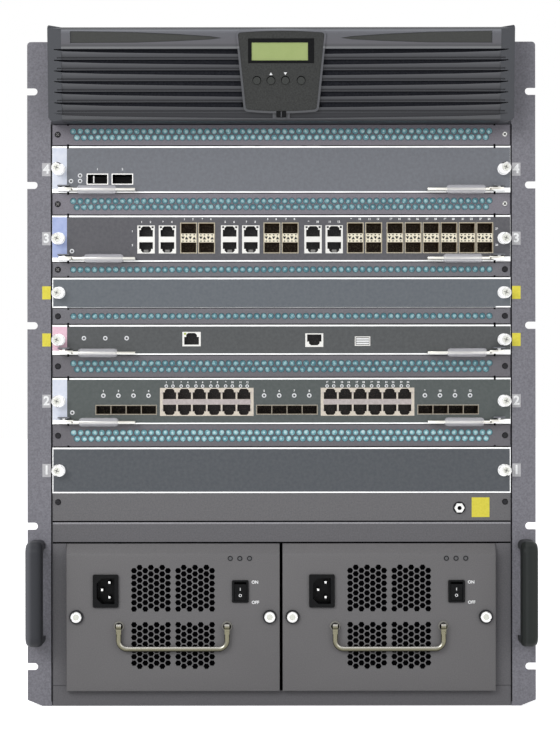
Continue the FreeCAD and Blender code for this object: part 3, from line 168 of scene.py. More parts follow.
# %% Bright metals
bare_aluminium = grained("bare aluminium, brushed", "#DADBDC", "#F2F2F2", 0.8, 0.01, 0.42, 1.0, (0.05, 1, 1))
bright_nickel = grained("bright nickel plate", "#D2D2D0", "#EAEAE8", 2.0, 0.004, 0.24, 1.0)
lever_plate = grained("nickel plated lever bar", "#C0BDB3", "#DEDDD8", 2.0, 0.004, 0.3, 1.0, (0.1, 1, 1))
screw_recess = grained("nickel plate, matt recess", "#BDBEB4", "#D8D9D2", 0.9, 0.02, 0.45, 0.6)
black_screw = grained("black oxide screw", "#1B1B1D", "#2A2A2D", 1.0, 0.01, 0.4, 0.8)
beige_metal = grained("light beige cage plate", "#D8D0B8", "#F2EBD6", 1.0, 0.006, 0.4, 0.3)
dull_zinc = grained("zinc plated boss, dull", "#74726C", "#8A8882", 1.0, 0.006, 0.45)
print("metals:", bare_aluminium.name, bright_nickel.name)

# %% [markdown]
# Plastics: caps and buttons are satin moulded ABS, and the inlets and switches are a blacker one. The printed
# overlays on the cards are polycarbonate film with a matt back-printed grey. Each card's print run came out a
# little different, so a table holds two greys for each. Films and inks have hardly any grain.

# %% Plastics, films and inks
cap_abs = grained("moulded ABS, dark satin grey", "#3C3D40", "#46474B", 0.7, 0.02, 0.4)
button_abs = grained("moulded button, dark grey", "#2A2C2A", "#363836", 0.7, 0.01, 0.4, specular=0.3)
black_gloss = grained("satin black plastic", "#08080A", "#121314", 1.2, 0.004, 0.34, specular=0.1)
bar_grey = grained("moulded bar between jacks, warm grey", "#B2A8A6", "#C6BCBA", 2.0, 0.006, 0.5)
stop_grey = grained("latch stop, grey", "#6F6D6B", "#858380", 1.0, 0.006, 0.5)
panel_film = grained("textured film, near black", "#252625", "#393A39", 1.2, 0.02, 0.45, specular=0.25)
inlay_film = grained("printed film, charcoal", "#393A38", "#40413F", 1.1, 0.01, 0.45, specular=0.25)
CARD_TONES = {"card_4": ("#72747A", "#7A7D83"), "card_3": ("#59595E", "#636266"),
              "blank_high": ("#656A70", "#6D7277"), "control": ("#525455", "#5B5D5E"),
              "card_2": ("#545A59", "#5D6261"), "blank_low": ("#52565B", "#5B5E62")}
card_film = {key: grained("printed film, grey, " + key, dark, light, 3.0, 0.008, 0.45, specular=0.25)
             for key, (dark, light) in CARD_TONES.items()}
blue_film = grained("printed film, pale blue", "#D9DFEE", "#E6EAF5", 6.0, 0.004, 0.4)
violet_film = grained("printed film, periwinkle", "#A2B0DC", "#B0BDE4", 6.0, 0.004, 0.4)
pink_film = grained("printed film, pale pink", "#EABFD0", "#F4D3DF", 6.0, 0.004, 0.4)
label_grey = grained("paper label, light grey", "#B4B3B6", "#C2C1C4", 2.0, 0.01, 0.6)
label_yellow = grained("paper label, yellow", "#E0D33C", "#EADE4E", 2.0, 0.01, 0.6)
white_ink = grained("white ink", "#F2F3F3", "#FAFAFA", 1.0, 0.002, 0.5)
print("films for the cards:", len(card_film))

# %% [markdown]
# What lies deep in the rack gets almost no light. The charcoal sheet behind the louvres, which is painted shade,
# and the black of the gaps have no gloss at all, or they would shine when the view turns. Lamps that are off are
# small lenses: frosted, smoked, or a yellow green window.

# %% Matt charcoal, unlit depths and lamp lenses
# Matt charcoal: painted shade behind the louvres, also used for the dark windows on the optic stacks.
charcoal_matt = grained("charcoal, matt", "#222328", "#2F3035", 1.6, 0.3, 0.9, specular=0.0)
dark_void = grained("unlit interior black", "#040405", "#08080A", 2.0, 0.004, 0.9, specular=0.0)
board_green = grained("glass fibre board, green", "#0E4A3C", "#18604C", 2.0, 0.01, 0.4)
lamp_white = grained("frosted lamp lens", "#E6E8EA", "#F6F7F8", 1.0, 0.002, 0.3)
lamp_dark = grained("unlit lamp lens, smoked", "#4A4A4C", "#5E5E60", 1.0, 0.004, 0.4)
lamp_green = grained("lamp window, yellow green", "#9FAE45", "#B9C661", 1.0, 0.004, 0.4)
print("finishes so far:", len(bpy.data.materials))

# %% [markdown]
# The louvred bezel is moulded satin ABS. Much of its tone is painted light and shade: a painted lighter brow, a
# painted highlight along the lip over the first slot, and painted shade at the foot, on the turned ends and in the
# deep recesses, which look almost black. Separate pieces would show seams, so one material reads the height and the
# depth behind the leaning face, and chooses the tone from them.

# %% Moulded bezel
BEZEL_FOOT_Y = -34.0         # how far the foot stands in front of the cards
BEZEL_LEAN = math.atan2(11.0, 86.8)      # the brow stands 11 mm further out, 86.8 mm above the foot
BEZEL_Z0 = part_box("front_bezel")[0].z / MM
BEZEL_CREASE = 205.2         # half width of the louvred front, where the turned ends begin
# Painted light and shade by height: painted shade at the foot, a painted highlight on the lip over the first slot,
# and a painted lighter brow at the top.
BEZEL_PAINTED_LIGHT = [(0.0, "#37383A"), (0.02, "#505154"), (0.66, "#57585C"), (0.668, "#767779"), (0.679, "#767779"),
               (0.685, "#505053"), (0.70, "#535357"), (0.712, "#5F5E63"), (0.80, "#606166"), (0.822, "#696A70"),
               (0.836, "#808287")]       # from the foot to 100 mm above it


def bezel_material():
    material = blank_material("moulded ABS, satin grey, painted light and shade")
    place = add(material, "TexCoord").outputs["Object"]
    split = add(material, "SeparateXYZ", {"Vector": place})
    height = add(material, "MapRange", {"Value": split.outputs["Z"], "From Min": BEZEL_Z0 * MM,
                                        "From Max": (BEZEL_Z0 + 100) * MM})
    tone = add(material, "ValToRGB", {"Fac": height})
    colour_stops(tone, BEZEL_PAINTED_LIGHT)
    grain = add(material, "TexNoise", {"Vector": place, "Scale": 1 / (0.7 * MM)})
    # Painted shade: the turned ends beyond the crease take a darker grey.
    side = add(material, "Math", {0: split.outputs["X"]}, operation="ABSOLUTE")
    end = add(material, "Math", {0: side, 1: BEZEL_CREASE * MM}, operation="GREATER_THAN")
    skin = add(material, "Mix", {"Factor": end, "A": tone, "B": paint("#3F4146")}, data_type="RGBA")
    # Painted shade: points 0.6 to 1.8 mm behind the leaning face darken to near black, except on the ends.
    slope = (0, math.cos(BEZEL_LEAN), math.sin(BEZEL_LEAN))
    level = add(material, "VectorMath", {0: place, 1: slope}, operation="DOT_PRODUCT")
    face = (BEZEL_FOOT_Y * slope[1] + BEZEL_Z0 * slope[2]) * MM
    deep = add(material, "MapRange", {"Value": level, "From Min": face + 0.6 * MM, "From Max": face + 1.8 * MM})
    front = add(material, "Math", {0: 1.0, 1: end}, operation="SUBTRACT")
    shade = add(material, "Math", {0: deep, 1: front}, operation="MULTIPLY")
    colour = add(material, "Mix", {"Factor": shade, "A": skin, "B": paint("#24252A")}, data_type="RGBA")
    relief = add(material, "Bump", {"Height": grain, "Strength": 0.5, "Distance": 0.02 * MM})
    shader = add(material, "BsdfPrincipled", {"Base Color": colour, "Roughness": 0.42, "Specular IOR Level": 0.35,
                                              "Normal": relief})
    add(material, "OutputMaterial", {"Surface": shader})
    return material


bezel_abs = bezel_material()
print("bezel leans", round(math.degrees(BEZEL_LEAN), 2), "degrees")

# %% [markdown]
# Behind every perforated baffle sits a teal air filter, seen through the holes with bright flecks where light gets
# in. A cell pattern of the hole size gives each hole its own tone, and a pale tuft of cloth bulges into each hole.
# The lowest and the highest filter are painted paler: painted light.


# %% Teal filter behind the perforations
def filter_material(name, pale, middle, deep):
    material = blank_material(name)
    place = add(material, "TexCoord").outputs["Object"]
    cells = add(material, "TexVoronoi", {"Vector": place, "Scale": 1 / (3.2 * MM)})
    tone = add(material, "ValToRGB", {"Fac": cells})
    colour_stops(tone, [(0.1, pale), (0.32, middle), (0.66, deep)])
    shader = add(material, "BsdfPrincipled", {"Base Color": tone, "Roughness": 0.5})
    add(material, "OutputMaterial", {"Surface": shader})
    return material


teal_filter = filter_material("teal filter cloth", "#9CC8CE", "#70A0AA", "#4A7E8A")
lit_filter = filter_material("teal filter cloth, painted lighter", "#C0EAEE", "#94C8D0", "#6CA6B2")
tuft_teal = grained("teal filter cloth, pale tuft", "#8CB9C0", "#BFDDE0", 1.3, 0.05, 0.6, specular=0.1)
tuft_pale = grained("teal filter cloth, painted lighter tuft", "#B4DEE4", "#E6FBFC", 1.3, 0.05, 0.6, specular=0.1)
print("filters:", teal_filter.name, lit_filter.name)

# %% [markdown]
# A jack or an optic cage is bright at its mouth and black inside. Two materials on one block would need its faces
# sorted by hand, so one material does both: it reads how far back a point lies and changes from plated metal to
# dark plastic just behind the mouth. Flecks in the dark stand for contact springs.

# %% Plated mouth, dark inside
MOUTH_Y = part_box("card_3_jacks")[0].y / MM
MOUTH_DEPTH = (0.2, 1.2)     # millimetres behind the mouth between which metal gives way to plastic


def mouth_material(name, dark_metal, light_metal, hollow, fleck):
    material = blank_material(name)
    place = add(material, "TexCoord").outputs["Object"]
    split = add(material, "SeparateXYZ", {"Vector": place})
    near, far = (MOUTH_Y * MM + depth * MM for depth in MOUTH_DEPTH)
    inward = add(material, "MapRange", {"Value": split.outputs["Y"], "From Min": near, "From Max": far})
    grain = add(material, "TexNoise", {"Vector": place, "Scale": 1 / (2.0 * MM)})
    tone = add(material, "Mix", {"Factor": grain, "A": paint(dark_metal), "B": paint(light_metal)}, data_type="RGBA")
    plated = add(material, "BsdfPrincipled", {"Base Color": tone, "Metallic": 1.0, "Roughness": 0.34})
    flecks = add(material, "TexNoise", {"Vector": place, "Scale": 1 / (1.1 * MM)})
    spring = add(material, "MapRange", {"Value": flecks, "From Min": 0.5, "From Max": 0.72})
    depth = add(material, "Mix", {"Factor": spring, "A": paint(hollow), "B": paint(fleck)}, data_type="RGBA")
    inner = add(material, "BsdfPrincipled", {"Base Color": depth, "Roughness": 0.5})
    shader = add(material, "MixShader", {"Fac": inward, 1: plated, 2: inner})
    add(material, "OutputMaterial", {"Surface": shader})
    return material


jack_finish = mouth_material("jack: tinned mouth, black inside", "#CFCECA", "#DEDDDA", "#262425", "#4A4546")
beige_jack = mouth_material("jack: beige plated mouth, black inside", "#ADA599", "#C6BEB2", "#221A17", "#54423C")
cage_finish = mouth_material("optic cage: plated mouth, brown inside", "#9A927F", "#B4AB97", "#6A5540", "#C0AB8A")
dull_cage = mouth_material("optic cage: dull mouth, brown inside", "#7C766A", "#989184", "#4E4034", "#A08E74")
bright_cage = mouth_material("optic cage: bright mouth, black inside", "#E2E1DE", "#F2F1EE", "#0C0B0B", "#1C1A1A")
print("mouths start at y =", round(MOUTH_Y, 2), "mm")

# %% [markdown]
# The lilac vinyl sleeves on the levers let the bar show through them, so theirs is the one finish with alpha. The
# display is off, and its green glass drifts a little in tone.


# %% Clear sleeve and green display
def sleeve_material():
    material = blank_material("clear vinyl sleeve, lilac")
    shader = add(material, "BsdfPrincipled", {"Base Color": paint("#F2F1F8"), "Roughness": 0.12, "IOR": 1.5,
                                              "Alpha": 0.34})
    add(material, "OutputMaterial", {"Surface": shader})
    return material


def display_material():
    material = blank_material("green display")
    place = add(material, "TexCoord").outputs["Object"]
    drift = add(material, "TexNoise", {"Vector": place, "Scale": 1 / (14 * MM)})
    tone = add(material, "Mix", {"Factor": drift, "A": paint("#98A866"), "B": paint("#A4B372")}, data_type="RGBA")
    shader = add(material, "BsdfPrincipled", {"Base Color": tone, "Roughness": 0.35})
    add(material, "OutputMaterial", {"Surface": shader})
    return material


clear_sleeve = sleeve_material()
green_display = display_material()
print("see-through finish:", clear_sleeve.name)

# %% [markdown]
# The handles carry painted light and shade. The left grip is painted lighter, brightest on its outer side, and
# the right one is painted black with a painted highlight, and both read their place across X. The bail is a bent
# rod with a painted highlight on top and painted shade below, so it reads the way that its surface faces.


# %% Painted light on the handles
def worn_material(name, source, axis, span, stops, metallic, roughness):
    """Painted light and shade that run across a handle, by Object place or by the Normal's direction."""
    material = blank_material(name)
    split = add(material, "SeparateXYZ", {"Vector": add(material, "TexCoord").outputs[source]})
    across = add(material, "MapRange", {"Value": split.outputs[axis], "From Min": span[0], "From Max": span[1]})
    tone = add(material, "ValToRGB", {"Fac": across})
    colour_stops(tone, stops)
    shader = add(material, "BsdfPrincipled", {"Base Color": tone, "Metallic": metallic, "Roughness": roughness,
                                              "Specular IOR Level": 0.12})
    add(material, "OutputMaterial", {"Surface": shader})
    return material


def worn_grip(name, grip, stops):
    low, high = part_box(grip)
    return worn_material(name, "Object", "X", (low.x, high.x), stops, 0.0, 0.4)


rod_nickel = worn_material("nickel plated rod, painted light on top and shade below", "Normal", "Z", (-1.0, 1.0),
                           [(0.1, "#3A382E"), (0.5, "#74715F"), (0.9, "#D2D0CA")], 1.0, 0.2)
lit_nylon = worn_grip("glass-filled nylon, painted light from the left", "left_grip",
                         [(0.0, "#5B5C60"), (0.15, "#636469"), (0.4, "#424347"), (0.75, "#36373B"), (1.0, "#26272A")])
shaded_nylon = worn_grip("glass-filled nylon, black, painted shade and highlight", "right_grip",
                       [(0.0, "#1E2120"), (0.22, "#242726"), (0.3, "#343736"), (0.45, "#2B2E2D"), (1.0, "#333633")])
print("all finishes:", len(bpy.data.materials))

# %% [markdown]
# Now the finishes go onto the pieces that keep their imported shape. A dictionary from names, or the ends of names,
# to finishes keeps the long list readable. What isn't named is a menu button.

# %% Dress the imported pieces
FINISH = {"chassis_wrap": chassis_coat, "top_cover": chassis_coat, "rear_panel": chassis_coat,
          "rack_ear": chassis_coat, "middle_shelf": galvanised, "backplane": board_green, "fan_tray": galvanised,
          "left_grip": lit_nylon, "right_grip": shaded_nylon, "air_baffles": strip_coat, "lower_strip": strip_coat,
          "bay_frame": bay_coat, "esd_jack": bright_nickel, "front_bezel": bezel_abs, "control_panel": panel_film,
          "lcd_display": green_display, "blank_panel_upper": bare_aluminium, "blank_panel_lower": bare_aluminium,
          "power_unit_1_faceplate": unit_coat, "power_unit_2_faceplate": unit_coat, "faceplate": bare_aluminium,
          "board": board_green, "xfp_cages": bright_cage, "card_2_cages": dull_cage, "cages": cage_finish,
          "card_2_jacks": beige_jack, "jacks": jack_finish, "lever": bright_nickel, "case": galvanised,
          "inlet": black_gloss, "switch_frame": black_gloss, "rocker": black_gloss, "bail": rod_nickel,
          "fan": black_gloss}
for name, node in NODES.items():
    ends = [name] if name in FINISH else [end for end in FINISH if name.endswith(end)]
    node.data.materials.clear()
    node.data.materials.append(FINISH[ends[0]] if ends else button_abs)
print("dressed:", len(NODES))

# %% [markdown]
# New pieces are shaped with bmesh operators: a cube or a cone is created, moved into place and bevelled. Several
# shapes can share one bmesh, so that a row of screws is one piece. The helpers take millimetres, unless they say
# otherwise.


# %% Shape helpers
def metres(values):
    return [value * MM for value in values]


def move(bm, verts, way):
    bmesh.ops.translate(bm, verts=verts, vec=metres(way))


def turn(bm, verts, angle, axis):
    bmesh.ops.rotate(bm, verts=verts, cent=(0, 0, 0), matrix=Matrix.Rotation(angle, 3, axis))


def soften(bm, edges, size, segments=2):
    bmesh.ops.bevel(bm, geom=edges, offset=size * MM, affect="EDGES", segments=segments, profile=0.5, material=-1)


def slab(bm, size):
    """A box of a given size about the origin."""
    made = bmesh.ops.create_cube(bm, size=1.0)["verts"]
    bmesh.ops.scale(bm, vec=metres(size), verts=made)
    return made


def once(elements):
    """Each element once, in the order met. A set would give another order each run."""
    return list(dict.fromkeys(elements))


def block(bm, low, high, bevel=0.0, segments=1):
    """A box between two corners, with softened edges."""
    made = slab(bm, [b - a for a, b in zip(low, high)])
    move(bm, made, [(a + b) / 2 for a, b in zip(low, high)])
    if bevel:
        soften(bm, once(e for v in made for e in v.link_edges), bevel, segments)


def blocks(*corners, bevel=0.0, segments=1):
    """A new bmesh with a block for each pair of corners."""
    bm = bmesh.new()
    for low, high in corners:
        block(bm, low, high, bevel, segments)
    return bm


def drum(bm, x, z, radius, front, back, segments=24, front_radius=None):
    """A round solid along Y between two depths."""
    small = radius if front_radius is None else front_radius
    made = bmesh.ops.create_cone(bm, cap_ends=True, segments=segments, radius1=small * MM, radius2=radius * MM,
                                 depth=(back - front) * MM)["verts"]
    turn(bm, made, math.radians(-90), "X")
    move(bm, made, (x, (front + back) / 2, z))
    return made


def extrude(bm, outline, way):
    """A plate whose outline is a list of points, pushed along a vector. Both are in metres here."""
    face = bm.faces.new([bm.verts.new(point) for point in outline])
    pushed = bmesh.ops.extrude_face_region(bm, geom=[face])["geom"]
    bmesh.ops.translate(bm, verts=[v for v in pushed if isinstance(v, bmesh.types.BMVert)], vec=way)


def flat(bm, points, front, back):
    """A plate whose outline is given as (x, z), with its thickness along Y."""
    extrude(bm, [metres((x, front, z)) for x, z in points], metres((0, back - front, 0)))


def arrow(bm, x, z, half, up, front, back):
    """A flat triangle that points up or down."""
    flat(bm, [(x - half[0], z - half[1] * up), (x + half[0], z - half[1] * up), (x, z + half[1] * up)], front, back)


print("helpers ready: move, turn, soften, slab, once, block, blocks, drum, extrude, flat, arrow")

# %% [markdown]
# A finished bmesh becomes a mesh and an object, which rides on the body that it moves with. Holes are cut with a
# boolean that holds all cutters at once, since one cut with a hundred cylinders is quicker than a hundred cuts.


# %% Pieces and cuts
def piece(bm, name, material, body, stands_for=(), smooth=False):
    """Close a bmesh into a named piece that rides on a body."""
    bmesh.ops.recalc_face_normals(bm, faces=bm.faces[:])
    mesh = bpy.data.meshes.new(name)
    bm.to_mesh(mesh)
    bm.free()
    mesh.materials.append(material)
    obj = bpy.data.objects.new(name, mesh)
    bpy.context.scene.collection.objects.link(obj)
    if smooth:
        mesh.shade_smooth()
        mesh.set_sharp_from_angle(angle=math.radians(35))
    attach(obj, body)
    if stands_for:
        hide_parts(*stands_for)
    return obj


def settled(obj):
    """The mesh of an object as its modifiers or its letters leave it."""
    bpy.context.view_layer.update()
    return bpy.data.meshes.new_from_object(obj.evaluated_get(bpy.context.evaluated_depsgraph_get()))


def carve(obj, cutter):
    """Cut one piece with another and throw the cutter away."""
    mesh = bpy.data.meshes.new("cutter")
    bmesh.ops.recalc_face_normals(cutter, faces=cutter.faces[:])
    cutter.to_mesh(mesh)
    cutter.free()
    tool = bpy.data.objects.new("cutter", mesh)
    bpy.context.scene.collection.objects.link(tool)
    step = obj.modifiers.new("cut", "BOOLEAN")
    step.object = tool
    step.operation = "DIFFERENCE"
    step.solver = "EXACT"
    made = settled(obj)
    obj.modifiers.clear()
    obj.data = made
    bpy.data.objects.remove(tool)


print("helpers ready: piece, settled, carve")

# %% [markdown]
# The bezel leans forward, so its trim is drawn upright at the bezel's foot and then turned onto the slope: charcoal
# leaf-shaped inlays in their pockets, a charcoal sheet behind the louvres as painted shade, the black surround of the
# display, dark discs of painted shade in the wells round the menu buttons, and the latch. Depths count from the
# leaning face, and minus is in front of it.


# %% Trim on the leaning bezel
def leant(bm):
    """Turn shapes drawn upright at the bezel's foot onto its leaning front."""
    turn(bm, bm.verts[:], BEZEL_LEAN, "X")
    move(bm, bm.verts[:], (0, BEZEL_FOOT_Y, BEZEL_Z0))
    return bm


def trim(bm, name, material):
    return piece(leant(bm), name, material, "chassis")


LEAF = [(196.4, 72.4), (196.4, 82.9), (138.0, 81.9), (98.0, 80.1), (66.0, 78.0), (57.0, 76.7), (66.0, 75.6),
        (98.0, 74.0), (138.0, 72.7)]
leaves = bmesh.new()
# Painted shade: a charcoal sheet behind the louvres stands in for the dim inside.
louvre_shade = bmesh.new()
for side in (-1, 1):
    flat(leaves, [(side * x, height) for x, height in LEAF], 0.45, 0.78)
    inner, outer = sorted((side * 36.5, side * 211.0))
    block(louvre_shade, (inner, 3.9, 9.5), (outer, 5.4, 69.5), 0.4)
trim(leaves, "bezel_inlays", inlay_film)
trim(louvre_shade, "charcoal_matt", charcoal_matt)
surround = trim(blocks([(-30.7, -0.62, 53.4), (30.7, -0.42, 76.1)]), "display_surround", black_gloss)
carve(surround, leant(blocks([(-27.6, -2, 55.9), (25.0, 2, 72.5)])))
arrows = bmesh.new()
for x, up in ((-9.6, 1), (3.9, -1)):
    arrow(arrows, x, 43.6, (1.5, 1.2), up, -1.5, -1.38)
trim(arrows, "menu_arrows", white_ink)
# Painted shade: an unlit dark disc round each menu button, in its well.
wells = bmesh.new()
for number in range(1, 5):
    low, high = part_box("menu_button_%d" % number)
    rise = ((low.z + high.z) / 2 / MM - BEZEL_Z0) / math.cos(BEZEL_LEAN)
    drum(wells, (low.x + high.x) / 2 / MM, rise, 4.0, -1.42, -1.3, 28)
trim(wells, "button_wells", dark_void)
trim(blocks([(-4.6, -2.6, 3.0), (4.6, 0.6, 9.0)], bevel=0.3), "bezel_latch", black_gloss)
trim(blocks([(-0.4, -2.8, 3.4), (0.5, -2.5, 8.6)], bevel=0.1), "bezel_latch_ribs", cap_abs)
print("bezel trim: inlays, foam, display surround, arrows, wells, latch")

# %% [markdown]
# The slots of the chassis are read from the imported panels, so everything that follows lines up with them. The
# places of jacks and cages across a card are a few numbers, kept together because ports, lamps and print share
# them.

# %% Slots, face planes and ports
SLOT_NODES = {"blank_low": "blank_panel_lower", "card_2": "card_2_faceplate", "control": "control_card_faceplate",
              "blank_high": "blank_panel_upper", "card_3": "card_3_faceplate", "card_4": "card_4_faceplate"}
SLOTS = {key: [corner.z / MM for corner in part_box(node)] for key, node in SLOT_NODES.items()}
FOOT = {key: low for key, (low, high) in SLOTS.items()}
BODY_OF = {"card_2": "card_2", "control": "control_card", "card_3": "card_3", "card_4": "card_4",
           "blank_low": "chassis", "blank_high": "chassis"}
FACE_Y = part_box("card_4_board")[0].y / MM - 2.0
FACE_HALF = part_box("blank_panel_upper")[1].x / MM
FILM = 0.25                  # thickness of a printed film
JACK_STACKS = (-136.7, -116.4, -57.3, -37.2, 21.9, 42.0)      # left edges of card 3's stacks of two jacks
CAGE_STACKS = (-96.0, -79.0, -16.9, 0.4, 62.3, 79.7, 100.0, 117.2, 134.3, 151.3, 168.5, 185.3)
STACK_RISE = 7.8             # foot of the port blocks above the foot of their card
JACK_BLOCKS = (-115.4, 37.3)             # left edges of card 2's blocks of jacks
JACK_PITCH = 14.1
PORT_MARKS = [start + 9.15 + k * JACK_PITCH + dx for start in JACK_BLOCKS for k in range(6) for dx in (-3.15, 3.15)]
CAGE_MARKS = [start + k * 14.3 for start in (-169.2, -16.5, 136.2) for k in range(4)]
print({key: (round(low, 1), round(high, 1)) for key, (low, high) in SLOTS.items()}, "faces at", round(FACE_Y, 2))

# %% [markdown]
# Air baffles close the gaps between the cards. Each is a coated strip with rows of punched round holes on a
# staggered pitch, and a gap as tall as two rows has two. A thin dark ring inside each hole's edge is painted shade.
# The tufts of cloth differ a little: a sine of the hole's number moves and sizes them, which gives the same result
# each run.


# %% Air baffles
def flat_ring(bm, x, z, inner, outer, y, steps=16):
    """A thin flat ring that faces the front."""
    rings = [[bm.verts.new(((x + r * math.cos(math.tau * k / steps)) * MM, y * MM,
                            (z + r * math.sin(math.tau * k / steps)) * MM)) for k in range(steps)]
             for r in (inner, outer)]
    for k in range(steps):
        after = (k + 1) % steps
        bm.faces.new((rings[0][k], rings[1][k], rings[1][after], rings[0][after]))
    bmesh.ops.recalc_face_normals(bm, faces=bm.faces[:])


HOLE_PITCH = 6.7
HOLE_R = 3.2
ROW_PITCH = 5.8
TWO_ROWS = 17                # a baffle taller than this has two rows of holes
HOLES = 60                   # in the top row
NOTCH_X = 202.6              # where each panel has a small notch, near its ends
levels = list(SLOTS.values())
gaps = [(below[1] + 1.0, above[0] - 0.7) for below, above in zip(levels, levels[1:])]
gaps.append((SLOTS["card_4"][1] + 1.0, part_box("air_baffles")[1].z / MM))
for i, (low, high) in enumerate(gaps):
    rows = 2 if high - low > TWO_ROWS else 1
    middle = (low + high) / 2 + (0.6 if i == 5 else 0)
    # Painted light: the lowest and the highest filter and their tufts are painted paler.
    painted_lighter = i in (0, 5)
    strip = blocks([(-FACE_HALF, -1.5, low), (FACE_HALF, 0, high)], bevel=0.25)
    plate = piece(strip, "baffle_%d" % (i + 1), lit_baffle_coats[i // 2], "chassis", ("air_baffles",))
    cutter = bmesh.new()
    tufts = bmesh.new()
    rims = bmesh.new()
    for row in range(rows):
        z = middle + (row - (rows - 1) / 2) * ROW_PITCH
        inset = 1 if row < rows - 1 else 0
        for k in range(HOLES - inset):
            x = (k - (HOLES - 1) / 2 + inset * 0.5) * HOLE_PITCH
            drum(cutter, x, z, HOLE_R, -3, 2, 12)
            # Painted shade: a thin dark ring inside each hole's edge.
            flat_ring(rims, x, z, HOLE_R - 0.5, HOLE_R + 0.05, -1.3)
            stray = math.sin(k * 12.99 + row * 78.23 + i * 37.7) * 43758.5
            drum(tufts, x + 0.9 * (stray % 1 - 0.5), z + 0.9 * (stray * 7 % 1 - 0.5), 1.1 + 0.7 * (stray * 3 % 1),
                 -1.15, -0.6, 8, 0.8)
    carve(plate, cutter)
    piece(tufts, "filter_tufts_%d" % (i + 1), tuft_pale if painted_lighter else tuft_teal, "chassis")
    piece(rims, "hole_rims_%d" % (i + 1), hole_rim_shade, "chassis")
    cloth = blocks([(-FACE_HALF + 3, -0.6, low + 0.8), (FACE_HALF - 3, 1.3, high - 0.8)])
    piece(cloth, "filter_%d" % (i + 1), lit_filter if painted_lighter else teal_filter, "chassis")
notches = bmesh.new()
gap_shades = bmesh.new()
# Painted shade: unlit black ticks at the notches, and unlit black strips in the gaps along each baffle's edges.
for low, high in gaps:
    for x in (-NOTCH_X, NOTCH_X):
        for z in (low - 0.6, high - 1.0):
            block(notches, (x - 0.9, -1.6, z), (x + 0.9, -1.0, z + 1.6))
    block(gap_shades, (-202, -1.2, low - 0.6), (202, 0.4, low + 0.2))
    block(gap_shades, (-202, -1.2, high - 0.2), (202, 0.4, high + (0.4 if high < gaps[-1][1] else 1.2)))
piece(notches, "baffle_notches", dark_void, "chassis")
piece(gap_shades, "baffle_edge_seals", dark_void, "chassis")
print("baffles:", len(gaps))

# %% [markdown]
# Each card carries a printed film on a bare aluminium faceplate. The film stops short of the edges, which is why a
# bright line runs along the top and bottom of every card. The ports' windows are cut out of it, from boxes that are
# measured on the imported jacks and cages, so that no window can miss its port.

# %% Films on the cards
END_BLOCK = -203.6           # where the coloured end film meets the grey one
CORNER = 14                  # how far the right lever's cut-out reaches in
WINDOWS = {"card_4": ["card_4_xfp_cages"], "card_3": ["card_3_jacks", "card_3_cages"],
           "card_2": ["card_2_jacks", "card_2_cages"], "control": ["control_card_jacks"]}
END_FILM = {"card_4": blue_film, "card_3": violet_film, "card_2": blue_film, "control": pink_film}


def port_windows(node):
    """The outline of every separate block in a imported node, found from its loose parts."""
    bm = bmesh.new()
    bm.from_mesh(NODES[node].data)
    bmesh.ops.remove_doubles(bm, verts=bm.verts[:], dist=1e-6)
    left = set(bm.verts)
    found = []
    while left:
        stack = [left.pop()]
        island = []
        while stack:
            v = stack.pop()
            island.append(v.co.copy())
            linked = {e.other_vert(v) for e in v.link_edges} & left
            left -= linked
            stack += linked
        found.append([pick(co[axis] / MM for co in island) for axis in (0, 2) for pick in (min, max)])
    bm.free()
    return sorted(found)


for key, (z0, z1) in SLOTS.items():
    blank = key.startswith("blank")
    left = -FACE_HALF + 0.8 if blank else END_BLOCK
    right = FACE_HALF - (0.8 if key == "blank_low" else 0.2)
    skin = blocks([(left, FACE_Y - FILM, z0 + 1.3), (right, FACE_Y - 0.01, z1 - 1.5)])
    if key == "blank_high":
        block(skin, (-FACE_HALF + 14, FACE_Y - FILM, z0 + 0.2), (FACE_HALF - 14, FACE_Y - 0.01, z0 + 1.25))
    film = piece(skin, key + "_film", card_film[key], BODY_OF[key])
    if blank:
        continue
    cutter = bmesh.new()
    for node in WINDOWS[key]:
        for x0, x1, low, high in port_windows(node):
            block(cutter, (x0 - 0.1, FACE_Y - 2, low - 0.1), (x1 + 0.1, FACE_Y + 2, high + 0.1))
    block(cutter, (FACE_HALF - CORNER, FACE_Y - 2, z0), (FACE_HALF + 2, FACE_Y + 2, z0 + 4.6))
    carve(film, cutter)
    end = blocks([(-FACE_HALF + 0.1, FACE_Y - FILM, z0 + 4.0), (END_BLOCK - 0.05, FACE_Y - 0.01, z1 - 1.5)])
    piece(end, key + "_end_film", END_FILM[key], BODY_OF[key])
    # Painted shade: unlit black ticks at the card's notches.
    notches = bmesh.new()
    for x in (-NOTCH_X, NOTCH_X):
        for z in (z0 - 0.2, z1 - 2.2):
            block(notches, (x - 0.9, FACE_Y - 0.3, z), (x + 0.9, FACE_Y + 0.2, z + 2.4))
    piece(notches, key + "_notches", dark_void, BODY_OF[key])
print("films on", len(SLOTS), "panels")

# %% [markdown]
# Captive thumbscrews hold every panel. The head is turned: a collar against the panel and a slimmer head with a
# cross recess. Stacked cylinders would leave a seam at each step, so a profile is spun about the screw's axis,
# which gives the whole shape at once.


# %% Thumbscrews
def turned(bm, profile, x, z, steps=28):
    """Spin a profile of (radius, y) points about an axis along Y, and move what is new to its place."""
    verts = [bm.verts.new((r * MM, y * MM, 0)) for r, y in profile]
    edges = [bm.edges.new(pair) for pair in zip(verts, verts[1:])]
    bmesh.ops.spin(bm, geom=verts + edges, cent=(0, 0, 0), axis=(0, 1, 0), dvec=(0, 0, 0), angle=math.radians(360),
                   steps=steps, use_merge=True)

    def still_central():
        return [v for v in bm.verts if v.link_faces and max(abs(v.co.x), abs(v.co.z)) < 12 * MM]

    bmesh.ops.remove_doubles(bm, verts=still_central(), dist=1e-6)
    move(bm, still_central(), (x, 0, z))


def cross(bm, x, y, z, length, width, angle):
    """Two thin bars over each other, like the slots of a cross recess."""
    for way in (angle, angle + 90):
        made = slab(bm, (length, 0.1, width))
        turn(bm, made, math.radians(way), "Y")
        move(bm, made, (x, y, z))


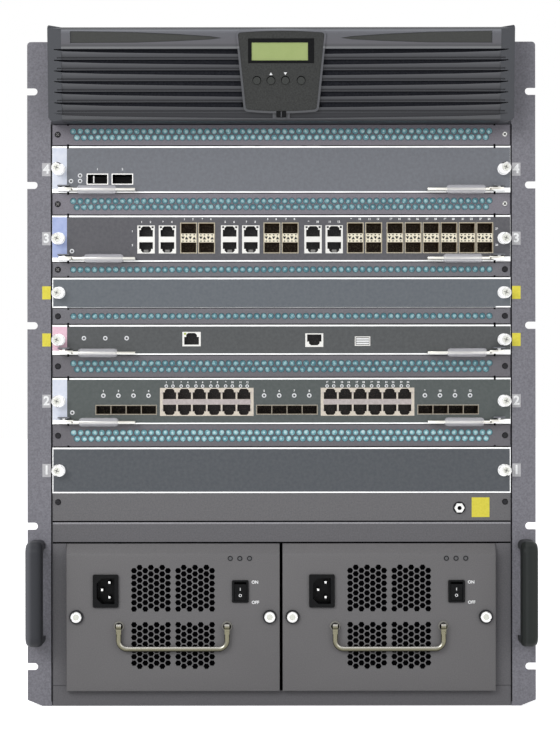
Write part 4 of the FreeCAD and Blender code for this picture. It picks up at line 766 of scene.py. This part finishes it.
SCREW_X = 212.7
HEAD_Y = -12.5               # front of a thumbscrew's head
PROFILE = [(0, HEAD_Y), (4.3, HEAD_Y), (5.0, -11.9), (5.0, -6.6), (5.2, -6.5), (5.5, -6.2), (5.5, FACE_Y),
           (0, FACE_Y)]
for key, (z0, z1) in SLOTS.items():
    z = (z0 + z1) / 2 + (1.4 if key == "card_4" else 0)
    heads = bmesh.new()
    discs = bmesh.new()
    crosses = bmesh.new()
    for x in (-SCREW_X, SCREW_X):
        turned(heads, PROFILE, x, z)
        drum(discs, x, z, 3.1, HEAD_Y - 0.01, HEAD_Y + 0.1)
        # Painted shade: a grey cross stands for the shade in each head's cross recess.
        cross(crosses, x, HEAD_Y - 0.02, z, 4.2, 0.8, 20)
    piece(heads, key + "_screws", bright_nickel, BODY_OF[key], smooth=True)
    piece(discs, key + "_screw_recesses", screw_recess, BODY_OF[key])
    piece(crosses, key + "_screw_crosses", stop_grey, BODY_OF[key])
print("thumbscrews:", 2 * len(SLOTS))

# %% [markdown]
# The ejector levers are flat plated bars with a cranked heel, and swing out on a pin. A clear vinyl sleeve is
# slipped over each as a finger grip, so the bar shows through it. Each sleeve sits a little differently, as slipped
# on by hand, so a table gives each card's drop of the bars and the slips of its two sleeves. The tab under a lever
# belongs to the faceplate, which keeps its shape, so its faces get a second material there: a grey like the film,
# which is partly painted shade for the shadow line over the bar.

# %% Ejector levers and sleeves
BAR_Y = -13.1
HEEL_X, ELBOW_X, TIP_X = 210.7, 199.0, 138.4
SLEEVE_X = (195.0, 157.0)
LEVER_FIT = {"card_4": (1.2, 1.2, 1.0), "card_3": (1.1, 7.8, 4.2), "control": (2.1, 2.0, 0.2),
             "card_2": (1.9, 2.9, 2.8)}
for key, (drop, *slips) in LEVER_FIT.items():
    for side, word, slip in zip((-1, 1), ("left", "right"), slips):
        lever = "%s_%s_lever" % (BODY_OF[key], word)
        pin = sum(corner.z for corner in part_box(lever)) / 2 / MM
        z = pin - drop
        x0, x1 = sorted((side * (ELBOW_X - 2), side * HEEL_X))
        x2, x3 = sorted((side * ELBOW_X, side * TIP_X))
        bar = blocks([(x0, BAR_Y, z - 1.2), (x1, BAR_Y + 9.0, pin - 0.5 * drop + 1.2)],
                     [(x2, BAR_Y, z - 1.2), (x3, BAR_Y + 9.0, z + 1.2)], bevel=0.4, segments=2)
        piece(bar, lever + "_bar", lever_plate, lever, (lever,), smooth=True)
        x0, x1 = sorted(side * (x - slip) for x in SLEEVE_X)
        sleeve = blocks([(x0, -14.5, z - 4.2), (x1, -2.7, z + 4.2)], bevel=3.4, segments=4)
        piece(sleeve, lever + "_sleeve", clear_sleeve, lever, smooth=True)
    # Partly painted shade: the tab under each lever gets the tab grey.
    plate = NODES[BODY_OF[key] + "_faceplate"].data
    plate.materials.append(tab_coat)
    for face in plate.polygons:
        x, y, z = (v / MM for v in face.center)
        if y < FACE_Y - 0.5 and abs(x) < 211 and pin + 1 < z < pin + 5:
            face.material_index = 1
print("levers dressed:", 2 * len(LEVER_FIT))

# %% [markdown]
# Small screws are among the last things that the eye looks for on a front panel. Each baffle and the lower strip is
# held by two low cone-shaped heads. Most are black, and two on the right are bright. Their cross recesses are so
# small that bars laid on the heads look the same as cut slots.

# %% Baffle screws
SMALL_X = 212.4
heights = [sum(gap) / 2 for gap in gaps[:5]] + [SLOTS["card_4"][1] + 11.2]
black = bmesh.new()
bright = bmesh.new()
for i, z in enumerate(heights):
    drum(black, -SMALL_X, z, 2.9, -2.9, -1.5, 20, 2.2)
    drum(black if i < 4 else bright, SMALL_X, z, 2.9, -2.9, -1.5, 20, 2.2)
for x in (-SMALL_X, SMALL_X):
    drum(black, x, 193.5, 2.9, -2.9, -1.5, 20, 2.2)
piece(black, "baffle_screws_black", black_screw, "chassis", smooth=True)
piece(bright, "baffle_screws_bright", bright_nickel, "chassis", smooth=True)
crosses = bmesh.new()
for z in heights[4:]:
    cross(crosses, SMALL_X, -2.93, z, 3.4, 0.8, 45)
piece(crosses, "baffle_screw_crosses", dark_void, "chassis")
crosses = bmesh.new()
for z in heights[3:]:
    cross(crosses, -SMALL_X, -2.93, z, 3.6, 0.6, 45)
piece(crosses, "baffle_screw_crosses_left", stop_grey, "chassis")
print("baffle screws:", 2 * len(heights) + 2)

# %% [markdown]
# An indicator lamp is a light guide whose end stands half a millimetre out of the film. With the power off, its
# rim is white and its middle is dark, so each is two short drums, and a row of them is one piece.


# %% Lamps on the cards
def lamp_row(name, body, spots, radius=2.2):
    lenses = bmesh.new()
    cores = bmesh.new()
    front = FACE_Y - FILM
    for x, z in spots:
        drum(lenses, x, z, radius, front - 0.5, front, 20, radius * 0.85)
        drum(cores, x, z, radius * 0.48, front - 0.6, front - 0.4, 12)
    piece(lenses, name + "_lenses", lamp_white, body, smooth=True)
    piece(cores, name + "_cores", cap_abs, body, smooth=True)


z = FOOT["card_4"]
lamp_row("card_4_lamps", "card_4", [(-199.7, z + 11.1), (-191.1, z + 16.4), (-191.1, z + 11.2)])
lamp_row("card_3_lamps", "card_3", [(-198.9, FOOT["card_3"] + 10)])
lamp_row("control_lamps", "control_card", [(x, FOOT["control"] + 15.8) for x in (-187.6, -167.3, -147.0)])
z = FOOT["card_2"]
lamp_row("card_2_lamps", "card_2", [(-198.7, z + 10.9)] + [(x, z + 27) for x in CAGE_MARKS])
lamp_row("card_2_port_lamps", "card_2", [(x, z + 36.0) for x in PORT_MARKS], 1.7)
print("lamps on card 2:", 1 + len(CAGE_MARKS) + len(PORT_MARKS))

# %% [markdown]
# The middle of each double optic stack is a light plate with small triangular windows, where the lamps of the
# upper and lower port shine through. The windows are dark plates laid on it, since a real cut would show the
# packed block behind and no lamp.

# %% Triangle plates on the optic stacks
z = FOOT["card_3"] + STACK_RISE
plates = bmesh.new()
triangles = bmesh.new()
for x in CAGE_STACKS:
    block(plates, (x + 0.8, MOUTH_Y - 0.12, z + 10.4), (x + 15.1, MOUTH_Y + 0.1, z + 18.8), 0.05)
    for dx, up in ((2.2, -1), (5.6, 1), (9.2, -1), (12.9, 1)):
        cx = x + 0.4 + dx
        cz = z + 14.6
        arrow(triangles, cx, cz, (1.6, 1.4), up, MOUTH_Y - 0.2, MOUTH_Y - 0.1)
        for dz in (-3.0, 3.0):
            block(triangles, (cx - 0.7, MOUTH_Y - 0.2, cz + dz - 0.5), (cx + 0.7, MOUTH_Y - 0.1, cz + dz + 0.5))
piece(plates, "stack_plates", beige_metal, "card_3")
piece(triangles, "stack_triangles", charcoal_matt, "card_3")
print("optic stacks:", len(CAGE_STACKS))

# %% [markdown]
# Close up, a stack of jacks is more than a hole: two lamp windows sit in its upper corners, a bar divides its rows,
# and the grey stop for the plug's latch shows in the lower key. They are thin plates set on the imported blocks.

# %% Details of the jacks
lamps = bmesh.new()
stops = bmesh.new()
z = FOOT["card_3"] + STACK_RISE
for x in JACK_STACKS:
    for dx in (1.1, 13.5):
        block(lamps, (x + dx, MOUTH_Y - 0.08, z + 23.9), (x + dx + 1.9, MOUTH_Y + 0.05, z + 25.7))
    block(stops, (x + 5.9, MOUTH_Y + 1.0, z + 1.0), (x + 10.5, MOUTH_Y + 1.8, z + 3.6), 0.3)
piece(lamps, "stack_lamp_windows", charcoal_matt, "card_3")
piece(stops, "latch_stops", stop_grey, "card_3")
bars = bmesh.new()
z = FOOT["card_2"] + STACK_RISE
for x in JACK_BLOCKS:
    block(bars, (x + 2.4, MOUTH_Y - 0.1, z + 10.8), (x + 86.4, MOUTH_Y + 0.05, z + 15.7), 0.04)
    for k in range(7):
        rib = x + 2.0 + k * JACK_PITCH
        for dz in (4.4, 20.7):
            block(bars, (rib - 0.25, MOUTH_Y - 0.12, z + dz), (rib + 0.55, MOUTH_Y + 0.05, z + dz + 2.4))
piece(bars, "block_bars", bar_grey, "card_2")
z = FOOT["control"]
window = blocks([(-92.6, MOUTH_Y - 0.1, z + 19.0), (-90.4, MOUTH_Y + 0.05, z + 20.9)])
piece(window, "service_lamp_window", lamp_green, "control_card")
tongue = blocks(*([(71.0, MOUTH_Y + 0.15, z + dz), (83.2, MOUTH_Y + 6, z + dz + 1.7)] for dz in (9.7, 11.9, 14.1)),
                bevel=0.2)
piece(tongue, "socket_tongue", white_ink, "control_card")
z = FOOT["card_4"]
spring = blocks([(-178.9, MOUTH_Y + 0.6, z + 9.2), (-177.5, MOUTH_Y + 2, z + 16.4)], bevel=0.3)
piece(spring, "optic_port_spring", bright_nickel, "card_4")
print("jack details on four cards")

# %% [markdown]
# Slot numbers are plain figures on small paper labels beside each screw. The blank panel above the control card
# and the card itself have yellow labels without a figure. Print is made from Blender's own text curves, thickened
# a little and turned to face the front, because a curve stays sharp at any size.


# %% Print helper and slot labels
def lettering(name, words, body, y, weight=0.05):
    """Raised print: each entry is (text, x, z, height)."""
    joined = bmesh.new()
    for text, x, z, size in words:
        curve = bpy.data.curves.new("print", "FONT")
        curve.body = text
        curve.size = size * MM * 1.38
        curve.align_x = "CENTER"
        curve.align_y = "CENTER"
        curve.extrude = 0.05 * MM
        curve.offset = weight * size * MM
        carrier = bpy.data.objects.new("print", curve)
        bpy.context.scene.collection.objects.link(carrier)
        mesh = settled(carrier)
        mesh.transform(Matrix.Translation(metres((x, y, z))) @ Matrix.Rotation(math.radians(90), 4, "X"))
        joined.from_mesh(mesh)
        bpy.data.objects.remove(carrier)
    piece(joined, name, white_ink, body)


EAR_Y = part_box("left_rack_ear")[0].y / MM
LABEL_X = 223.2
grey = bmesh.new()
yellow = bmesh.new()
words = []
FIGURES = {"card_4": "4", "card_3": "3", "blank_high": "", "control": "", "card_2": "2", "blank_low": "1"}
for key, figure in FIGURES.items():
    z = sum(SLOTS[key]) / 2
    for x in (-LABEL_X, LABEL_X):
        block(grey if figure else yellow, (x - 4, EAR_Y - 0.15, z - 6.2), (x + 4, EAR_Y - 0.01, z + 6.2))
        if figure:
            words.append((figure, x, z, 8.5))
piece(grey, "slot_labels_grey", label_grey, "chassis")
piece(yellow, "slot_labels_yellow", label_yellow, "chassis")
lettering("slot_numbers", words, "chassis", EAR_Y - 0.18, 0.045)
print("slot labels:", 2 * len(FIGURES))

# %% [markdown]
# Port numbers are counted up from left to right over the ports that they name, so a loop writes them. The figures
# are under two millimetres high and read only close up, but the rows of white specks are part of the card's look.


# %% Port numbers
INK_Y = FACE_Y - FILM - 0.04


def counted(places, z, size):
    return [(str(number), x, z, size) for number, x in enumerate(places, 1)]


lettering("card_4_numbers", counted((-174.6, -150.9), FOOT["card_4"] + 22.4, 2.0), "card_4", INK_Y)
z = FOOT["card_3"]
words = counted([x + 4.0 + k * 8.4 for x in JACK_STACKS for k in (0, 1)], z + 37.6, 1.9)
words += counted([x + 4.0 + k * 8.0 for x in CAGE_STACKS for k in (0, 1)], z + 40.2, 1.9)
words += [("1", -141.5, z + 28.8, 1.9), ("2", -141.5, z + 15.6, 1.9), ("23", 204.6, z + 30.9, 1.9),
          ("24", 204.6, z + 15.5, 1.9)]
lettering("card_3_numbers", words, "card_3", INK_Y)
z = FOOT["card_2"]
words = counted(PORT_MARKS, z + 39.6, 1.8) + counted(CAGE_MARKS, z + 31.4, 1.9)
lettering("card_2_numbers", words, "card_2", INK_Y)
print("numbers on card 2:", len(words))

# %% [markdown]
# The lower strip has a jack for a grounding strap and a yellow label, which is left blank here. A black washer and
# a dark disc of painted shade in the bore make the jack read as a socket and not as a nut.

# %% Yellow label and grounding jack
label = blocks([(180.6, -1.7, 178.9), (197.5, -1.52, 197.6)])
piece(label, "blank_yellow_label", label_yellow, "chassis")
low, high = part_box("esd_jack")
x = (low.x + high.x) / 2 / MM
z = (low.z + high.z) / 2 / MM
washer = bmesh.new()
drum(washer, x, z, 6.0, -1.75, -1.52)
piece(washer, "jack_washer", black_screw, "chassis", smooth=True)
hole = bmesh.new()
drum(hole, x, z, 1.95, low.y / MM + 0.5, low.y / MM + 1.2, 16)
piece(hole, "jack_hole", dark_void, "chassis", smooth=True)
print("grounding jack at", round(x, 1), round(z, 1))

# %% [markdown]
# Sheet metal parts never meet without a shadow between them. The widest of these gaps lie around the power bay,
# and a strip of unlit black set in each gap keeps them dark from every side. A pale strip along the folded edge of
# the rail over the bay is a painted highlight.

# %% Shadow gaps around the power bay
bay_foot, bay_top = (corner.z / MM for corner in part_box("power_unit_1_faceplate"))
strip_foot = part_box("lower_strip")[0].z / MM
strip_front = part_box("lower_strip")[0].y / MM
rail_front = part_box("bay_frame")[0].y / MM
left_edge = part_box("power_unit_1_faceplate")[1].x / MM
right_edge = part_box("power_unit_2_faceplate")[0].x / MM
seam = abs(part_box("left_rack_ear")[1].x / MM)
shadow = blocks([(-FACE_HALF, strip_front - 0.08, strip_foot - 0.9), (FACE_HALF, 0.2, strip_foot + 0.45)],
                [(-FACE_HALF, rail_front - 0.08, bay_top + 0.1), (FACE_HALF, 0.2, bay_top + 1.5)],
                [(left_edge + 0.2, -0.4, bay_foot), (right_edge - 0.2, 0.3, bay_top)])
for x in (-seam, seam):
    block(shadow, (x - 0.4, EAR_Y - 0.1, 4), (x + 0.4, EAR_Y + 0.3, BEZEL_Z0))
piece(shadow, "shadow_gaps", dark_void, "chassis")
# Painted highlight: a pale strip on the rail's folded edge.
fold = blocks([(-FACE_HALF, rail_front - 0.1, strip_foot - 2.7), (FACE_HALF, 0.2, strip_foot - 0.9)], bevel=0.08)
piece(fold, "rail_edge_highlight", edge_highlight_coat, "chassis")
print("power bay from", round(bay_foot, 1), "to", round(bay_top, 1), "mm; gap", left_edge, right_edge)

# %% [markdown]
# Each power unit has four honeycombs of six-sided vents, punched on a true pitch. Its face pan is bent from one
# sheet, so a side outline of a few points is extruded across the unit and hollowed, and one boolean cuts all of its
# holes. Every second column lies half a hole lower, and the upper honeycombs start with a low column.

# %% Power unit faces
HEX_PITCH_X = 5.35
HEX_PITCH_Z = 6.05
HEX_AF = 5.1                 # across flats of a hole
HEXES = 7                    # holes in a column, and columns
VENT_X = 20.9                # a honeycomb's centre from the unit's centre line
VENT_TOPS = {0: 62.9, 1: 117.1}          # topmost row of the lower and the upper honeycombs
PSU_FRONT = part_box("power_unit_1_switch_frame")[0].y / MM + 1.8
UNITS = {}
for number in (1, 2):
    body = "power_unit_%d" % number
    low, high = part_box(body + "_faceplate")
    UNITS[body] = ((low.x + high.x) / 2 / MM, low.z / MM)
    cx, z0 = UNITS[body]
    z1 = high.z / MM
    pan = bmesh.new()
    outline = [(-0.3, z0), (PSU_FRONT, z0), (PSU_FRONT, z1 - 9.7), (PSU_FRONT + 7, z1), (-0.3, z1)]
    extrude(pan, [(low.x, y * MM, z * MM) for y, z in outline], (high.x - low.x, 0, 0))
    bmesh.ops.recalc_face_normals(pan, faces=pan.faces[:])
    back = [f for f in pan.faces if f.normal.y > 0.9]
    fronts = [e for e in pan.edges if all(v.co.y < -1 * MM for v in e.verts)]
    bmesh.ops.delete(pan, geom=back, context="FACES_ONLY")
    soften(pan, fronts, 0.7)
    bmesh.ops.solidify(pan, geom=pan.faces[:], thickness=1.5 * MM)
    face = piece(pan, body + "_face", unit_coat, body, (body + "_faceplate",), smooth=True)
    cutter = bmesh.new()
    for side in (-1, 1):
        for upper, top in VENT_TOPS.items():
            for column in range(HEXES):
                x = cx + side * VENT_X + (column - HEXES // 2) * HEX_PITCH_X
                start = z0 + top - (0 if column % 2 == upper else HEX_PITCH_Z / 2)
                for row in range(HEXES):
                    made = drum(cutter, 0, 0, HEX_AF / math.sqrt(3), PSU_FRONT - 2, PSU_FRONT + 3, 6)
                    turn(cutter, made, math.radians(30), "Y")
                    move(cutter, made, (x, 0, start - row * HEX_PITCH_Z))
    for part, half_x, half_z in (("_inlet", 10, 13), ("_switch_frame", 6, 9)):
        x, _, z = ((a + b) / 2 / MM for a, b in zip(*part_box(body + part)))
        block(cutter, (x - half_x, PSU_FRONT - 2, z - half_z), (x + half_x, PSU_FRONT + 3, z + half_z))
    carve(face, cutter)
    # Painted shade: unlit black sheets behind the vents stand in for the dark inside.
    vent_shade_sheets = bmesh.new()
    for x in (cx - VENT_X, cx + VENT_X):
        for z in (z0 + 97.3, z0 + 43.1):
            block(vent_shade_sheets, (x - 20.3, PSU_FRONT + 1.8, z - 24.5), (x + 20.3, PSU_FRONT + 2.3, z + 24.5), 0.2)
    piece(vent_shade_sheets, body + "_vent_shade_sheets", dark_void, body)
    print(body, "face polygons:", len(face.data.polygons))

# %% [markdown]
# A power switch is marked with a bar and a ring. The rocker is tilted, so print at a fixed depth would float over
# one half and sink into the other. A ray from the front finds where each mark meets the rocker, and the surface's
# direction there turns the mark.


# %% Marks on a rocker
def rocker_marks(body):
    rocker = NODES[body + "_rocker"]
    low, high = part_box(body + "_rocker")
    marks = bmesh.new()
    for kind, rise in (("bar", 3.0), ("ring", -3.0)):
        start = Vector(((low.x + high.x) / 2, low.y - 0.05, (low.z + high.z) / 2 + rise * MM))
        _, spot, normal, _ = rocker.ray_cast(start, Vector((0, 1, 0)))
        if kind == "bar":
            made = slab(marks, (0.7, 0.12, 2.9))
        else:
            made = bmesh.ops.create_circle(marks, segments=20, radius=1.45 * MM)["verts"]
            face = bmesh.ops.contextual_create(marks, geom=made)["faces"]
            inner = bmesh.ops.inset_region(marks, faces=face, thickness=0.6 * MM, use_boundary=True)["faces"]
            bmesh.ops.delete(marks, geom=face, context="FACES")
            made = once(v for f in inner for v in f.verts)
            turn(marks, made, math.radians(90), "X")
        turn(marks, made, math.atan2(-normal.z, -normal.y), "X")
        bmesh.ops.translate(marks, verts=made, vec=spot + normal * 0.09 * MM)
    piece(marks, body + "_rocker_marks", white_ink, body + "_rocker")


print("rocker marks ready")

# %% [markdown]
# Each unit has two captive screws in black rings, three dark lamps, a drop handle whose ends turn in two bosses,
# plain switch markings, and three pins in its inlet. Round parts are turned from profiles, like the thumbscrews.

# %% Fittings of the power units
F = PSU_FRONT
RING = [(4.6, F - 2.9), (6.4, F - 2.9), (6.7, F), (4.6, F)]
HEAD = [(0, F - 4.2), (4.4, F - 4.2), (5.1, F - 3.6), (5.1, F), (0, F)]
LAMP_RING = [(1.5, F - 0.5), (2.3, F - 0.5), (2.5, F), (1.5, F)]
BOSS = [(3.5, F - 1.6), (3.9, F - 2.2), (4.6, F - 1.8), (5.1, F), (3.5, F)]
for body, (cx, z0) in UNITS.items():
    rings = bmesh.new()
    heads = bmesh.new()
    discs = bmesh.new()
    lamps = bmesh.new()
    for x in (cx - 91.6, cx + 91.6):
        turned(rings, RING, x, z0 + 70.3)
        turned(heads, HEAD, x, z0 + 70.3)
        drum(discs, x, z0 + 70.3, 3.0, F - 4.23, F - 4.1)
    for x in (cx + 54.2, cx + 63.3, cx + 72.5):
        turned(rings, LAMP_RING, x, z0 + 125.6)
        drum(lamps, x, z0 + 125.6, 1.5, F - 0.4, F, 20)
    piece(rings, body + "_screw_rings", black_screw, body, smooth=True)
    piece(heads, body + "_screw_heads", bright_nickel, body, smooth=True)
    piece(discs, body + "_screw_recesses", screw_recess, body)
    piece(lamps, body + "_lamps", lamp_dark, body, smooth=True)
    bosses = bmesh.new()
    hollows = bmesh.new()
    for x in (cx - 51.2, cx + 51.2):
        turned(bosses, BOSS, x, z0 + 61.4)
        # Painted shade: an unlit black disc in each boss's hollow.
        drum(hollows, x, z0 + 61.4, 3.6, F - 0.3, F + 0.2, 20)
    piece(bosses, body + "_bail_rings", dull_zinc, body, smooth=True)
    piece(hollows, body + "_bail_hollows", dark_void, body, smooth=True)
    lettering(body + "_marks", [("ON", cx + 77.6, z0 + 103.0, 2.9), ("OFF", cx + 78.0, z0 + 83.9, 2.9)], body,
              F - 0.06)
    pins = bmesh.new()
    mouth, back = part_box(body + "_inlet")
    for dx, dz in ((-3.5, 0), (3.5, 7), (3.5, -7)):
        x = (mouth.x + back.x) / 2 / MM + dx
        z = (mouth.z + back.z) / 2 / MM + dz
        block(pins, (x - 1.05, mouth.y / MM + 2.8, z - 0.2), (x + 1.05, mouth.y / MM + 9, z + 2.05), 0.4, 2)
    piece(pins, body + "_inlet_pins", bright_nickel, body, smooth=True)
    rocker_marks(body)
print("fitted:", list(UNITS))

# %% [markdown]
# The stage is a plain pale floor in a white surround, which lights the object softly from all sides. Seen directly,
# or in metal and glass, both are near white, and everything else gets less light from them, so that the object
# keeps its own colours. Light Path tells the two cases apart.


# %% Floor
def seen_directly(owner):
    """1 for rays from the camera, and for those that a mirror or glass passes on."""
    path = add(owner, "LightPath")
    passed_on = add(owner, "Math", {0: path.outputs["Is Glossy Ray"], 1: path.outputs["Is Transmission Ray"]},
                    operation="MAXIMUM")
    return add(owner, "Math", {0: path.outputs["Is Camera Ray"], 1: passed_on}, operation="MAXIMUM")


def floor_material():
    material = blank_material("pale floor")
    seen = seen_directly(material)
    tone = add(material, "Mix", {"Factor": seen, "A": (0.45, 0.45, 0.45, 1), "B": (0.9, 0.9, 0.9, 1)},
               data_type="RGBA")
    plain = add(material, "BsdfDiffuse", {"Color": tone})
    glow = add(material, "Emission", {"Strength": seen})
    lift = add(material, "MixShader", {"Fac": 0.55, 1: plain, 2: glow})
    both = add(material, "AddShader", {0: plain, 1: lift})
    add(material, "OutputMaterial", {"Surface": both})
    return material


grid = bmesh.new()
bmesh.ops.create_grid(grid, x_segments=1, y_segments=1, size=6.0)
mesh = bpy.data.meshes.new("floor")
grid.to_mesh(mesh)
grid.free()
mesh.materials.append(floor_material())
floor = bpy.data.objects.new("floor", mesh)
bpy.context.scene.collection.objects.link(floor)
floor.location = (0, 2.0, cad_box[0][2] - 0.0005)
print("floor at", round(floor.location.z, 4))

# %% [markdown]
# Three large lamps add soft shape: a key from the front left, a weak fill from the right, and one above. Small
# lamps would draw hard spots on the nickel.

# %% Surround and lamps
world = bpy.data.worlds.new("surround")
bpy.context.scene.world = world
world.use_nodes = True
world.node_tree.nodes.clear()
soft = add(world, "Background", {"Color": (0.97, 0.98, 1.0, 1), "Strength": 0.52})
white = add(world, "Background", {"Color": (1, 1, 1, 1), "Strength": 1.0})
pick = add(world, "MixShader", {"Fac": seen_directly(world), 1: soft, 2: white})
add(world, "OutputWorld", {"Surface": pick})


def soft_lamp(name, place, target, width, depth, watts):
    lamp = bpy.data.lights.new(name, "AREA")
    lamp.shape = "RECTANGLE"
    lamp.size = width
    lamp.size_y = depth
    lamp.energy = watts
    obj = bpy.data.objects.new(name, lamp)
    bpy.context.scene.collection.objects.link(obj)
    obj.location = place
    obj.rotation_euler = (Vector(target) - Vector(place)).to_track_quat("-Z", "Y").to_euler()


soft_lamp("key", (-1.2, -2.0, 1.3), (0, 0, 0.35), 1.4, 1.0, 25)
soft_lamp("fill", (1.3, -1.9, 0.9), (0, 0, 0.3), 1.2, 1.2, 7)
soft_lamp("top", (0, 0.2, 2.2), (0, 0, 0.6), 1.6, 1.0, 8)
print("lamps:", len(bpy.data.lights))

# %% [markdown]
# The camera stands level with the middle of the chassis, far enough away for an almost flat view. Its lens follows
# from the distance and from the height that has to fill the frame, so either can change without the other.

# %% Camera
DISTANCE = 2.2
SPAN = 0.6942                # height that the frame covers in the plane of the ears
SENSOR = 36
camera = bpy.data.cameras.new("camera")
camera.sensor_fit = "VERTICAL"
camera.sensor_width = SENSOR
camera.sensor_height = SENSOR
camera.lens = SENSOR * DISTANCE / SPAN
eye = bpy.data.objects.new("camera", camera)
bpy.context.scene.collection.objects.link(eye)
eye.location = (-0.0014, -DISTANCE, 0.3236)
eye.rotation_euler = (math.radians(90), math.radians(0.06), 0)
bpy.context.scene.camera = eye
bpy.context.scene.view_settings.view_transform = "Standard"
print("lens:", round(camera.lens, 1), "mm")

# %% [markdown]
# Last, the view layer is brought up to date.

# %% Update the view layer
bpy.context.view_layer.update()
